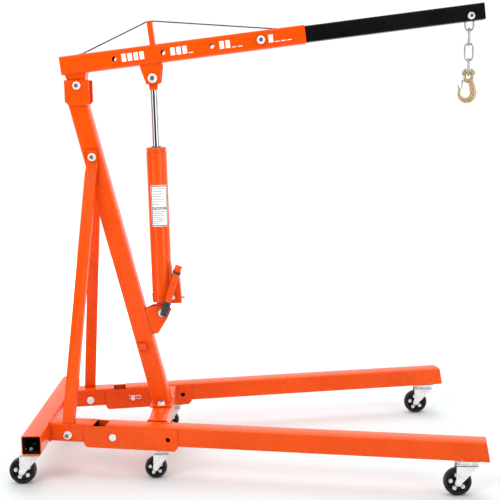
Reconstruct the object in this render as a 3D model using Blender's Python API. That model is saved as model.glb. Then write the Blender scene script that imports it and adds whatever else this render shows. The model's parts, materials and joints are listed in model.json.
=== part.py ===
"""Folding engine hoist on six swivel casters, with a hydraulic ram and a telescoping boom.

Frame: metres, +Z up, +X from the rear cross tube towards the hook, +Y to the hoist's left.
The origin is on the floor, in the middle of the hoist's outer box.
"""
import math

import bmesh
import bpy
from mathutils import Matrix, Vector

# Clearances
GAP = 0.0003
FIT = 0.0005

# Base frame
REAR_X = -0.7164
TUBE = 0.065
WALL = 0.003
CORNER = 0.006
FRAME_TOP = 0.185
FRAME_MIDDLE = FRAME_TOP - TUBE / 2
REAR_LENGTH = 0.682
LEG_ROOT_X = REAR_X + TUBE / 2
LEG_ROOT_Y = 0.1775
SPLAY = math.radians(9.6)
STUB_LENGTH = 0.160
BRACE_STATION = 0.0704
BRACE_BOLT_Z = 0.1444

# Leg sockets and legs, measured along each leg from the rear cross tube
SOCKET_START = 0.128
SOCKET_END = 0.454
SOCKET_HALF = 0.036
SOCKET_BOTTOM = 0.1055
SOCKET_TOP = 0.180
PIN_STATION = 0.230
PIN_Z = 0.1448
SPARE_STATION = 0.4205
LEG_START = 0.204
LEG_END = 1.452
LEG_END_RAKE = 0.012
PIN_RADIUS = 0.008

# Cross beam, mast and braces
BEAM = 0.0635
BEAM_X = REAR_X + 0.398
MAST = 0.0635
MAST_LEAN = math.radians(13.68)
MAST_REF = Vector((REAR_X + 0.26175, 0.0, 0.75))
MAST_TOP = 1.262
FOOT_PLATE = (0.077, 0.130, 0.006)
BRACE_WIDTH = 0.040
BRACE_DEPTH = 0.020
BRACE_TOP_Z = 1.0726

# Boom, measured along it from its rear end
BOOM = 0.062
BOOM_PITCH = math.radians(6.44)
BOOM_START = Vector((REAR_X + 0.0858, 0.0, 1.3813))
BOOM_LENGTH = 0.838
PIVOT_ALONG = 0.0468
PIVOT_BELOW = 0.0719
PIN_HOLE_FIRST = 0.1855
PIN_HOLE_PITCH = 0.1671
PIN_HOLES = 4
RAM_ALONG = 0.3052
RAM_BELOW = 0.0795
POST_ALONG = 0.3195
POST_HEIGHT = 0.077
EXTENSION = 0.055
EXTENSION_START = 0.655
EXTENSION_END = 1.4451
HOOK_BOLT_ALONG = 1.3968
HOOK_BOLT_BELOW = 0.011
BOLT_RADIUS = 0.007

# Ram
RAM_FOOT = Vector((REAR_X + 0.4084, 0.0, 0.5208))
RAM_RADIUS = 0.035
RAM_BORE = 0.028
ROD_RADIUS = 0.013
RAM_BODY_TOP = 0.5640
PISTON_AT = 0.262
LEVER_PIVOT = Vector((REAR_X + 0.4307, -0.050, 0.5648))
LEVER_STUD = Vector((0.016, 0, 0.014))
LEVER_TILT = math.radians(18.5)
PUMP_BASE = 0.5537
PUMP_SHELF = 0.100

# Chain and hook
WIRE = 0.007
LINK_PITCH = 0.050
LINK_WIDTH = 0.035
LINK_TWIST = math.radians(18)
LINKS = 4
HOOK_BOLT_RADIUS = 0.006
HOOK_PIN_RADIUS = 0.005

# Casters: total height, wheel radius, wheel width, trail
BIG_CASTER = (0.120, 0.045, 0.032, 0.032)
SMALL_CASTER = (0.1055, 0.0375, 0.028, 0.020)
REAR_CASTER = (REAR_X - 0.015, 0.278)
MID_CASTER_STATION = 0.388
FRONT_CASTER_STATION = 1.396

SIDES = (("right", -1), ("left", 1))

FINISHES = {
    "paint": ((0.90, 0.115, 0.004, 1), 0.0, 0.28),
    "black": ((0.012, 0.012, 0.013, 1), 0.0, 0.35),
    "zinc": ((0.72, 0.72, 0.70, 1), 0.9, 0.28),
    "chrome": ((0.80, 0.80, 0.82, 1), 1.0, 0.06),
    "gold": ((0.72, 0.48, 0.17, 1), 0.9, 0.32),
    "rubber": ((0.018, 0.018, 0.018, 1), 0.0, 0.55),
    "steel": ((0.35, 0.34, 0.32, 1), 0.9, 0.40),
}


# Mesh helpers

def clear_scene():
    for obj in list(bpy.data.objects):
        bpy.data.objects.remove(obj, do_unlink=True)


def finish_material(name, finish):
    colour, metallic, roughness = FINISHES[finish]
    material = bpy.data.materials.new(name + "_" + finish)
    material.use_nodes = True
    shader = material.node_tree.nodes["Principled BSDF"]
    shader.inputs["Base Color"].default_value = colour
    shader.inputs["Metallic"].default_value = metallic
    shader.inputs["Roughness"].default_value = roughness
    return material


def make_object(name, bm, finish, location=(0, 0, 0), rotation=(0, 0, 0)):
    """Turn a bmesh into a named object with its own material."""
    bmesh.ops.recalc_face_normals(bm, faces=bm.faces)
    mesh = bpy.data.meshes.new(name)
    bm.to_mesh(mesh)
    bm.free()
    mesh.materials.append(finish_material(name, finish))
    mesh.shade_smooth()
    mesh.set_sharp_from_angle(angle=math.radians(35))
    obj = bpy.data.objects.new(name, mesh)
    bpy.context.scene.collection.objects.link(obj)
    obj.location = location
    obj.rotation_euler = rotation
    return obj


def combine(target, bm, operation):
    """Cut or join a helper solid, given in the target's own coordinates."""
    bmesh.ops.recalc_face_normals(bm, faces=bm.faces)
    name = target.name + "_" + operation.lower()
    mesh = bpy.data.meshes.new(name)
    bm.to_mesh(mesh)
    bm.free()
    helper = bpy.data.objects.new(name, mesh)
    bpy.context.scene.collection.objects.link(helper)
    helper.parent = target
    helper.hide_render = True
    helper.display_type = "WIRE"
    modifier = target.modifiers.new(operation.title(), "BOOLEAN")
    modifier.operation = operation
    modifier.solver = "EXACT"
    modifier.object = helper


def cut(target, bm):
    combine(target, bm, "DIFFERENCE")


def join(target, bm):
    combine(target, bm, "UNION")


def skin(bm, rings, loop=False):
    """Skin rings of points that have the same count, and cap the two ends unless they meet."""
    rows = [[bm.verts.new(point) for point in ring] for ring in rings]
    count = len(rows[0])
    pairs = list(zip(rows, rows[1:]))
    if loop:
        pairs.append((rows[-1], rows[0]))
    for low, high in pairs:
        for i in range(count):
            j = (i + 1) % count
            bm.faces.new((low[i], low[j], high[j], high[i]))
    if not loop:
        bm.faces.new(list(reversed(rows[0])))
        bm.faces.new(rows[-1])
    return bm


def rounded_rectangle(width, height, radius, steps=2):
    """Outline in its own plane, anticlockwise, with steps + 1 points on each corner."""
    points = []
    corners = ((1, 1, 0), (-1, 1, 90), (-1, -1, 180), (1, -1, 270))
    for sign_x, sign_y, start in corners:
        for k in range(steps + 1):
            angle = math.radians(start + 90 * k / steps)
            x = sign_x * (width / 2 - radius) + radius * math.cos(angle)
            y = sign_y * (height / 2 - radius) + radius * math.sin(angle)
            points.append((x, y))
    return points


def hollow_bar(width, height, wall, place_start, place_end, corner=CORNER):
    """Open tube: each end's outline is put in space by a function of the outline's two values."""
    outer = rounded_rectangle(width, height, corner)
    inner = rounded_rectangle(width - 2 * wall, height - 2 * wall, corner - wall * 0.8)
    rings = [[place_start(*p) for p in outer], [place_end(*p) for p in outer],
             [place_end(*p) for p in inner], [place_start(*p) for p in inner]]
    return skin(bmesh.new(), rings, loop=True)


def box(size, centre, rotation=None):
    bm = bmesh.new()
    add_box(bm, size, centre, rotation)
    return bm


def add_box(bm, size, centre, rotation=None):
    turn = rotation or Matrix.Identity(4)
    matrix = Matrix.Translation(centre) @ turn @ Matrix.Diagonal((*size, 1))
    bmesh.ops.create_cube(bm, size=1, matrix=matrix)


def add_rod(bm, start, end, radius, segments=16):
    """Plain cylinder between two points."""
    start = Vector(start)
    end = Vector(end)
    along = end - start
    turn = along.to_track_quat("Z", "Y").to_matrix().to_4x4()
    matrix = Matrix.Translation((start + end) / 2) @ turn
    bmesh.ops.create_cone(bm, cap_ends=True, segments=segments, radius1=radius, radius2=radius,
                          depth=along.length, matrix=matrix)


def rod(start, end, radius, segments=16):
    bm = bmesh.new()
    add_rod(bm, start, end, radius, segments)
    return bm


def add_plate(bm, outline, y_low, y_high):
    """Plate with an outline of (x, z) points, between two values of y."""
    skin(bm, [[(x, y, z) for x, z in outline] for y in (y_low, y_high)])


def arc(centre_x, centre_z, radius, start, end, steps):
    """Points of an arc in degrees, both ends included."""
    points = []
    for k in range(steps + 1):
        angle = math.radians(start + (end - start) * k / steps)
        points.append((centre_x + radius * math.cos(angle), centre_z + radius * math.sin(angle)))
    return points


def turned_ring(profile, segments, axis="Z"):
    """Ring-shaped solid of revolution from a closed (radius, height) profile, flat side down."""
    rings = []
    for k in range(segments):
        angle = 2 * math.pi * (k + 0.5) / segments
        if axis == "Z":
            rings.append([(r * math.cos(angle), r * math.sin(angle), h) for r, h in profile])
        else:
            rings.append([(r * math.cos(angle), h, r * math.sin(angle)) for r, h in profile])
    return skin(bmesh.new(), rings, loop=True)


def hexagon_radius(across_flats, angle):
    sector = math.radians(60)
    return across_flats / 2 / math.cos((angle % sector) - sector / 2)


def fastener(stations, segments=12):
    """Solid along +Z from stations (height, radius, is_hex); a hex radius is half its flats."""
    rings = []
    for height, radius, is_hex in stations:
        ring = []
        for k in range(segments):
            angle = 2 * math.pi * k / segments
            reach = hexagon_radius(2 * radius, angle) if is_hex else radius
            ring.append((reach * math.cos(angle), reach * math.sin(angle), height))
        rings.append(ring)
    return skin(bmesh.new(), rings)


def bolt(name, centre, direction, grip, shank=BOLT_RADIUS, nut=True):
    """Hex bolt with washers; grip is the clamped thickness, centred on centre, head at the front.
    Without a nut the shank ends just inside the grip."""
    half = grip / 2 + GAP
    flats = shank * 1.65
    washer = shank * 2.0
    head = shank * 1.2
    stations = [(half, shank, False), (half, washer, False), (half + 0.002, washer, False),
                (half + 0.002, flats, True), (half + 0.002 + head, flats, True)]
    if nut:
        stations = [(-half - head - 0.005, shank * 0.9, False), (-half - head, shank * 0.9, False),
                    (-half - head, flats, True), (-half, flats, True), (-half, shank, False)] + stations
    else:
        stations = [(2 * GAP - half, shank, False)] + stations
    turn = Vector(direction).to_track_quat("Z", "Y").to_euler()
    return make_object(name, fastener(stations), "zinc", centre, turn)


# Positions

def leg_point(side, station, outward, z):
    """World point on a leg line: station along the leg, outward sideways from its middle."""
    x = LEG_ROOT_X + station * math.cos(SPLAY) - outward * math.sin(SPLAY)
    y = side * (LEG_ROOT_Y + station * math.sin(SPLAY) + outward * math.cos(SPLAY))
    return Vector((x, y, z))


def leg_turn(side):
    return (0, 0, side * SPLAY)


def mast_x(z):
    return MAST_REF.x - (z - MAST_REF.z) * math.tan(MAST_LEAN)


BOOM_DIRECTION = Vector((math.cos(BOOM_PITCH), 0, math.sin(BOOM_PITCH)))
BOOM_NORMAL = Vector((-math.sin(BOOM_PITCH), 0, math.cos(BOOM_PITCH)))


def boom_point(along, above, y=0.0):
    return BOOM_START + BOOM_DIRECTION * along + BOOM_NORMAL * above + Vector((0, y, 0))


PIVOT = boom_point(PIVOT_ALONG, -PIVOT_BELOW)
RAM_HEAD = boom_point(RAM_ALONG, -RAM_BELOW)
HOOK_BOLT = boom_point(HOOK_BOLT_ALONG, -HOOK_BOLT_BELOW)
BOOM_TURN = (0, -BOOM_PITCH, 0)
RAM_AXIS = (RAM_HEAD - RAM_FOOT).normalized()
RAM_LENGTH = (RAM_HEAD - RAM_FOOT).length
RAM_TURN = (0, math.atan2(RAM_AXIS.x, RAM_AXIS.z), 0)


def ram_point(along):
    return RAM_FOOT + RAM_AXIS * along


# Base frame

def rear_cross_tube():
    half = REAR_LENGTH / 2
    bm = hollow_bar(TUBE, TUBE, WALL, lambda a, b: (a, -half, b), lambda a, b: (a, half, b))
    make_object("rear_cross_tube", bm, "paint", (REAR_X, 0, FRAME_MIDDLE))


def leg_stub(label, side):
    """Short tube welded to the cross tube; its rear end is mitred to the splay angle."""
    mitre = math.tan(side * SPLAY)
    bm = hollow_bar(TUBE, TUBE, WALL, lambda a, b: (GAP + a * mitre, a, b), lambda a, b: (STUB_LENGTH, a, b))
    stub = make_object("leg_stub_" + label, bm, "paint", leg_point(side, 0, 0, FRAME_MIDDLE), leg_turn(side))
    holes = bmesh.new()
    slot = (BRACE_WIDTH + 2 * FIT, BRACE_DEPTH + 2 * FIT, 4 * WALL)
    add_box(holes, slot, (BRACE_STATION, side * brace_foot_outward(), TUBE / 2))
    bolt_z = BRACE_BOLT_Z - FRAME_MIDDLE
    add_rod(holes, (BRACE_STATION, -TUBE, bolt_z), (BRACE_STATION, TUBE, bolt_z), BOLT_RADIUS + FIT)
    cut(stub, holes)


def leg_socket(label, side):
    """Open-topped channel that holds the leg, with bevelled lower corners."""
    base = SOCKET_BOTTOM
    inner = SOCKET_HALF - WALL
    outline = [(-SOCKET_HALF, base), (SOCKET_HALF, base), (SOCKET_HALF, SOCKET_TOP), (inner, SOCKET_TOP),
               (inner, base + WALL), (-inner, base + WALL), (-inner, SOCKET_TOP), (-SOCKET_HALF, SOCKET_TOP)]
    rings = [[(x - PIN_STATION, y, z - PIN_Z) for y, z in outline] for x in (SOCKET_START, SOCKET_END)]
    bm = skin(bmesh.new(), rings)
    place = leg_point(side, PIN_STATION, 0, PIN_Z)
    socket = make_object("leg_socket_" + label, bm, "paint", place, leg_turn(side))
    cuts = bmesh.new()
    for station, radius in ((PIN_STATION, PIN_RADIUS + FIT), (SPARE_STATION, PIN_RADIUS)):
        x = station - PIN_STATION
        add_rod(cuts, (x, -TUBE, 0), (x, TUBE, 0), radius)
    for station, width in ((SOCKET_START, 0.010), (SOCKET_END, 0.012)):
        turn = Matrix.Rotation(math.radians(45), 4, "Y")
        centre = (station - PIN_STATION, 0, base - PIN_Z)
        add_box(cuts, (width * 1.4, 2 * TUBE, width * 1.4), centre, turn)
    cut(socket, cuts)


def cross_beam():
    """Beam between the two sockets, with its ends cut to the splay."""
    def end(side):
        def place(a, b):
            x = BEAM_X + a
            reach = LEG_ROOT_Y + (x - LEG_ROOT_X) * math.tan(SPLAY) - SOCKET_HALF / math.cos(SPLAY) - GAP
            return (a, side * reach, b)
        return place
    bm = hollow_bar(BEAM, BEAM, WALL, end(-1), end(1))
    make_object("cross_beam", bm, "paint", (BEAM_X, 0, FRAME_TOP - BEAM / 2))


def leg_pin(label, side):
    """Clevis pin with a round head outside and a hitch-pin clip inside."""
    half = SOCKET_HALF + GAP
    tail = half + 0.011
    stations = [(-tail, PIN_RADIUS * 0.8, False), (-tail + 0.002, PIN_RADIUS, False), (half, PIN_RADIUS, False),
                (half, 0.012, False), (half + 0.004, 0.012, False), (half + 0.005, 0.010, False)]
    turn = Vector(leg_point(side, 0, 1, 0) - leg_point(side, 0, 0, 0)).to_track_quat("Z", "Y").to_euler()
    place = leg_point(side, PIN_STATION, 0, PIN_Z)
    pin = make_object("leg_pin_" + label, fastener(stations, 16), "zinc", place, turn)
    join(pin, hitch_clip(-half - 0.006))


def hitch_clip(height):
    """Bent wire: straight through the pin, around a loop, and back over the pin."""
    loop_x = 0.022
    path = [(-0.013, 0), (0, 0), (0.013, 0)]
    path += [(x, z) for x, z in arc(loop_x, 0.004, 0.0065, 215, 505, 9)]
    path += [(0.008, 0.0105), (0, 0.0115), (-0.008, 0.0105), (-0.014, 0.012)]
    points = [Vector((0, x, height)) + Vector((z, 0, 0)) for x, z in path]
    return sweep(points, [0.0014] * len(points), Vector((0, 0, 1)), 6)


def sweep(points, radii, side_axis, segments, flatten=1.0):
    """Skin round sections along a path that stays square to side_axis."""
    rings = []
    for i, point in enumerate(points):
        before = points[max(i - 1, 0)]
        after = points[min(i + 1, len(points) - 1)]
        tangent = (after - before).normalized()
        normal = tangent.cross(side_axis).normalized()
        ring = []
        for k in range(segments):
            angle = 2 * math.pi * k / segments
            offset = normal * math.cos(angle) + side_axis * (flatten * math.sin(angle))
            ring.append(point + offset * radii[i])
        rings.append(ring)
    return skin(bmesh.new(), rings)


def leg(label, side):
    """Folding leg; its origin is on the pin it turns about."""
    start = LEG_START - PIN_STATION
    end = LEG_END - PIN_STATION

    def front(a, b):
        return (end + LEG_END_RAKE * (0.5 - b / TUBE), a, b + FRAME_MIDDLE - PIN_Z)
    bm = hollow_bar(TUBE, TUBE, WALL, lambda a, b: (start, a, b + FRAME_MIDDLE - PIN_Z), front)
    place = leg_point(side, PIN_STATION, 0, PIN_Z)
    tube = make_object("leg_" + label, bm, "paint", place, leg_turn(side))
    cuts = bmesh.new()
    for station, radius in ((PIN_STATION, PIN_RADIUS + FIT), (SPARE_STATION, PIN_RADIUS)):
        x = station - PIN_STATION
        add_rod(cuts, (x, -TUBE, 0), (x, TUBE, 0), radius)
    turn = Matrix.Rotation(math.radians(45), 4, "Y")
    add_box(cuts, (0.009, 2 * TUBE, 0.009), (start, 0, FRAME_TOP - TUBE - PIN_Z), turn)
    cut(tube, cuts)


# Mast and braces

def mast():
    """Leaning mast with its foot plate, two head plates and the handle clip welded on."""
    outline = rounded_rectangle(MAST / math.cos(MAST_LEAN), MAST, CORNER)
    inner = rounded_rectangle(MAST / math.cos(MAST_LEAN) - 2 * WALL, MAST - 2 * WALL, CORNER - WALL * 0.8)
    plate_top = FRAME_TOP + GAP + FOOT_PLATE[2]
    bottom = plate_top - 0.002

    def place(points, z):
        return [(mast_x(z) + a - PIVOT.x, b, z - PIVOT.z) for a, b in points]
    rings = [place(outline, bottom), place(outline, MAST_TOP), place(inner, MAST_TOP), place(inner, bottom)]
    body = make_object("mast", skin(bmesh.new(), rings, loop=True), "paint", PIVOT)
    welded = bmesh.new()
    add_box(welded, FOOT_PLATE, (mast_x(plate_top) - PIVOT.x, 0, plate_top - FOOT_PLATE[2] / 2 - PIVOT.z))
    for side in (-1, 1):
        low, high = sorted((side * 0.0315, side * 0.0375))
        outline = [(-0.028, -0.068), (0.028, -0.068), (0.042, -0.054), (0.042, 0.0185), (-0.042, 0.0185),
                   (-0.042, -0.054)]
        add_plate(welded, outline, low, high)
    clip_z = 0.4025
    add_box(welded, (0.028, 0.012, 0.024), (mast_x(clip_z) - 0.010 - PIVOT.x, -MAST / 2 - 0.0055,
                                            clip_z - PIVOT.z))
    join(body, welded)
    holes = bmesh.new()
    add_rod(holes, (0, -TUBE, 0), (0, TUBE, 0), BOLT_RADIUS + FIT)
    brace_z = BRACE_TOP_Z - PIVOT.z
    brace_x = mast_x(BRACE_TOP_Z) - PIVOT.x
    add_rod(holes, (brace_x, -TUBE, brace_z), (brace_x, TUBE, brace_z), BOLT_RADIUS + FIT)
    for y in (-1, 1):
        x = mast_x(plate_top) - PIVOT.x
        z = plate_top - PIVOT.z
        add_rod(holes, (x, y * 0.050, z - 0.02), (x, y * 0.050, z + 0.02), BOLT_RADIUS + FIT)
    add_box(holes, (0.018, 0.006, 0.06), (mast_x(clip_z) - 0.010 - PIVOT.x, -MAST / 2 - 0.0060,
                                          clip_z - PIVOT.z))
    cut(body, holes)


def foot_bolt(label, side):
    """Bolt through the foot plate into the cross beam; it ends inside the plate's hole."""
    plate = FOOT_PLATE[2]
    centre = (mast_x(FRAME_TOP + plate), side * 0.050, FRAME_TOP + GAP + plate / 2)
    bolt("mast_foot_bolt_" + label, centre, (0, 0, 1), plate, nut=False)


def brace_foot_outward():
    return TUBE / 2 - WALL - FIT - BRACE_DEPTH / 2


def brace(label, side):
    """Bar from inside the stub up to the mast, with a flattened top end."""
    def ring(centre, width, depth, yaw):
        points = []
        for a, b in ((-1, -1), (1, -1), (1, 1), (-1, 1)):
            offset = Matrix.Rotation(yaw, 3, "Z") @ Vector((a * width / 2, b * depth / 2, 0))
            points.append(centre + offset)
        return points
    foot = leg_point(side, BRACE_STATION, brace_foot_outward(), 0)
    yaw = side * SPLAY
    top_x = mast_x(BRACE_TOP_Z)
    face = MAST / 2 + GAP
    upper = Vector((top_x - 0.004, side * (face + BRACE_DEPTH / 2), 1.020))
    tab_low = Vector((top_x, side * (face + 0.003), 1.045))
    tab_high = Vector((top_x, side * (face + 0.003), 1.098))
    low = Vector((foot.x, foot.y, FRAME_TOP - TUBE + WALL + 0.006))
    knee = Vector((foot.x, foot.y, FRAME_TOP + 0.002))
    rings = [ring(low, BRACE_WIDTH, BRACE_DEPTH, yaw), ring(knee, BRACE_WIDTH, BRACE_DEPTH, yaw),
             ring(upper, BRACE_WIDTH, BRACE_DEPTH, 0), ring(tab_low, BRACE_WIDTH, 0.006, 0),
             ring(tab_high, BRACE_WIDTH * 0.9, 0.006, 0)]
    body = make_object("brace_" + label, skin(bmesh.new(), rings), "paint")
    holes = bmesh.new()
    inner = leg_point(side, BRACE_STATION, -TUBE, BRACE_BOLT_Z)
    outer = leg_point(side, BRACE_STATION, TUBE, BRACE_BOLT_Z)
    add_rod(holes, inner, outer, BOLT_RADIUS + FIT)
    add_rod(holes, (top_x, -TUBE, BRACE_TOP_Z), (top_x, TUBE, BRACE_TOP_Z), BOLT_RADIUS + FIT)
    cut(body, holes)


def brace_bolts():
    grip = MAST + 2 * GAP + 2 * 0.006
    bolt("brace_top_bolt", (mast_x(BRACE_TOP_Z), 0, BRACE_TOP_Z), (0, -1, 0), grip)
    for label, side in SIDES:
        outward = leg_point(side, 0, 1, 0) - leg_point(side, 0, 0, 0)
        bolt("brace_foot_bolt_" + label, leg_point(side, BRACE_STATION, 0, BRACE_BOLT_Z), outward, TUBE)


# Boom and extension

def boom_tube():
    """Boom with its pivot lug and truss post welded on; the origin is on the pivot."""
    start = -PIVOT_ALONG
    end = BOOM_LENGTH - PIVOT_ALONG
    bm = hollow_bar(BOOM, BOOM, WALL, lambda a, b: (start, a, b + PIVOT_BELOW),
                    lambda a, b: (end, a, b + PIVOT_BELOW))
    body = make_object("boom_tube", bm, "paint", PIVOT, BOOM_TURN)
    underside = PIVOT_BELOW - BOOM / 2
    top = PIVOT_BELOW + BOOM / 2
    welded = bmesh.new()
    lug = [(-0.037, underside + 0.001), (-0.026, 0.0)]
    lug += arc(0, 0, 0.026, 195, 345, 6)
    lug += [(0.026, 0.0), (0.037, underside + 0.001)]
    add_plate(welded, lug, -0.027, 0.027)
    post_x = POST_ALONG - PIVOT_ALONG
    add_box(welded, (0.017, 0.040, POST_HEIGHT + 0.001), (post_x, 0, top + POST_HEIGHT / 2 - 0.0005))
    join(body, welded)
    holes = bmesh.new()
    add_rod(holes, (0, -TUBE, 0), (0, TUBE, 0), BOLT_RADIUS + FIT)
    for k in range(PIN_HOLES):
        x = PIN_HOLE_FIRST + k * PIN_HOLE_PITCH - PIVOT_ALONG
        add_rod(holes, (x, -TUBE, PIVOT_BELOW), (x, TUBE, PIVOT_BELOW), BOLT_RADIUS + 0.001)
    cut(body, holes)


def ram_boom_bracket():
    """Channel under the boom; its two cheeks take the ram's upper pin."""
    top = RAM_BELOW - BOOM / 2 - GAP
    outline = [(-0.0375, top), (-0.036, top - 0.014), (-0.024, -0.017), (-0.018, -0.020),
               (0.018, -0.020), (0.024, -0.017), (0.036, top - 0.014), (0.0375, top)]
    bm = bmesh.new()
    add_plate(bm, list(reversed(outline)), -0.026, 0.026)
    body = make_object("ram_boom_bracket", bm, "paint", RAM_HEAD, BOOM_TURN)
    cut(body, box((0.10, 0.042, 0.10), (0, 0, top - 0.005 - 0.05)))
    cut(body, rod((0, -TUBE, 0), (0, TUBE, 0), BOLT_RADIUS + 0.001 + FIT))


def truss_rod():
    """Round bar from the boom's rear, over the post, down to the boom's front."""
    radius = 0.003
    top = BOOM / 2 + radius + GAP
    peak = BOOM / 2 + POST_HEIGHT + radius + GAP
    stations = ((0.066, top), (0.078, top + 0.001), (POST_ALONG - 0.016, peak - 0.002), (POST_ALONG - 0.010, peak),
                (POST_ALONG + 0.010, peak), (POST_ALONG + 0.016, peak - 0.001), (0.732, top + 0.001),
                (0.745, top))
    origin = boom_point(POST_ALONG, 0)
    points = [Vector((along - POST_ALONG, 0, above)) for along, above in stations]
    bm = sweep(points, [radius] * len(points), Vector((0, 1, 0)), 8)
    make_object("truss_rod", bm, "steel", origin, BOOM_TURN)


def boom_bolts():
    bolt("boom_pivot_bolt", PIVOT, (0, -1, 0), 0.075)
    cheek = 0.005
    centre = RAM_HEAD + Vector((0, -0.026 + cheek / 2, 0))
    bolt("ram_head_bolt", centre, (0, -1, 0), cheek, BOLT_RADIUS + 0.001, nut=False)
    along = PIN_HOLE_FIRST + (PIN_HOLES - 1) * PIN_HOLE_PITCH
    centre = boom_point(along, 0, -BOOM / 2 + WALL / 2)
    bolt("extension_lock_bolt", centre, (0, -1, 0), WALL - FIT, nut=False)


def extension_tube():
    """Sliding inner boom with an open slot under the hook bolt."""
    start = EXTENSION_START - HOOK_BOLT_ALONG
    end = EXTENSION_END - HOOK_BOLT_ALONG
    bm = hollow_bar(EXTENSION, EXTENSION, WALL, lambda a, b: (start, a, b + HOOK_BOLT_BELOW),
                    lambda a, b: (end, a, b + HOOK_BOLT_BELOW))
    body = make_object("extension_tube", bm, "black", HOOK_BOLT, BOOM_TURN)
    cuts = bmesh.new()
    add_rod(cuts, (0, -TUBE, 0), (0, TUBE, 0), HOOK_BOLT_RADIUS + FIT)
    add_box(cuts, (0.084, 0.013, 0.02), (0, 0, HOOK_BOLT_BELOW - EXTENSION / 2))
    cut(body, cuts)
    bolt("hook_bolt", HOOK_BOLT, (0, -1, 0), EXTENSION, HOOK_BOLT_RADIUS)


# Ram and pump

def ram_mast_bracket():
    """Channel on the mast's front face that takes the ram's lower pin."""
    def face(z, proud):
        return mast_x(z) + MAST / 2 / math.cos(MAST_LEAN) + GAP / math.cos(MAST_LEAN) + proud - RAM_FOOT.x
    top = RAM_FOOT.z + 0.010
    bottom = RAM_FOOT.z - 0.077
    outline = [(face(bottom, 0), bottom - RAM_FOOT.z), (-0.016, -0.074), (0.019, -0.018), (0.028, 0.002)]
    outline += [(0.012, 0.021), (-0.010, 0.024), (-0.040, 0.020), (face(top, 0), 0.010)]
    bm = bmesh.new()
    add_plate(bm, outline, -0.028, 0.028)
    body = make_object("ram_mast_bracket", bm, "paint", RAM_FOOT)
    web = 0.006
    slot = [(face(bottom - 0.02, web), -0.097), (0.060, -0.097), (0.060, 0.060), (face(top + 0.05, web), 0.060)]
    opening = bmesh.new()
    add_plate(opening, slot, -0.0235, 0.0235)
    cut(body, opening)
    cut(body, rod((0, -TUBE, 0), (0, TUBE, 0), 0.010 + FIT, 12))


def ram_foot_pin():
    half = 0.028 + GAP
    stations = [(-half - 0.008, 0.008, False), (-half - 0.006, 0.010, False), (half, 0.010, False),
                (half, 0.014, False), (half + 0.004, 0.014, False), (half + 0.005, 0.012, False)]
    turn = Vector((0, -1, 0)).to_track_quat("Z", "Y").to_euler()
    make_object("ram_foot_pin", fastener(stations, 16), "zinc", RAM_FOOT, turn)


def ram_body():
    """Cylinder with a closed foot and a lug around the lower pin; it is open at the top."""
    floor = 0.050
    collar = 0.037
    profile = [(0.0006, collar), (RAM_RADIUS + 0.001, collar), (RAM_RADIUS + 0.001, collar + 0.026),
               (RAM_RADIUS, collar + 0.027), (RAM_RADIUS, RAM_BODY_TOP), (RAM_BORE, RAM_BODY_TOP),
               (RAM_BORE, floor), (0.0006, floor)]
    body = make_object("ram_body", turned_ring(profile, 36), "paint", RAM_FOOT, RAM_TURN)
    lug = bmesh.new()
    outline = arc(0, 0, 0.020, 180, 360, 8) + [(0.020, collar + 0.004), (-0.020, collar + 0.004)]
    add_plate(lug, outline, -0.022, 0.022)
    join(body, lug)
    cut(body, rod((0, -TUBE, 0), (0, TUBE, 0), 0.010 + FIT))


def ram_gland():
    """Threaded end collar with the rod's bore."""
    low = RAM_BODY_TOP + GAP
    spigot = low - 0.016
    profile = [(ROD_RADIUS + FIT, spigot), (RAM_BORE - GAP, spigot), (RAM_BORE - GAP, low), (RAM_RADIUS - 0.001, low),
               (RAM_RADIUS - 0.001, low + 0.014), (RAM_RADIUS - 0.004, low + 0.017), (ROD_RADIUS + FIT, low + 0.017)]
    make_object("ram_gland", turned_ring(profile, 36), "paint", RAM_FOOT, RAM_TURN)


def piston():
    radius = RAM_BORE - FIT
    profile = [(0.004, 0.0), (radius, 0.0), (radius, 0.007), (radius - 0.003, 0.007), (radius - 0.003, 0.013),
               (radius, 0.013), (radius, 0.020), (0.004, 0.020)]
    make_object("piston", turned_ring(profile, 24), "steel", ram_point(PISTON_AT), RAM_TURN)


def piston_rod():
    """Chrome rod with the flat eye that works between the bracket's cheeks."""
    bottom = PISTON_AT + 0.020 + GAP - RAM_LENGTH
    neck = -0.030
    stations = [(bottom, ROD_RADIUS - 0.001, False), (bottom + 0.001, ROD_RADIUS, False), (neck, ROD_RADIUS, False)]
    rod_body = make_object("piston_rod", fastener(stations, 24), "chrome", RAM_HEAD, RAM_TURN)
    eye = bmesh.new()
    outline = arc(0, 0, 0.019, 0, 180, 10) + [(-0.013, neck - 0.010), (0.013, neck - 0.010)]
    add_plate(eye, outline, -0.014, 0.014)
    join(rod_body, eye)
    cut(rod_body, rod((0, -TUBE, 0), (0, TUBE, 0), BOLT_RADIUS + 0.002))


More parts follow.
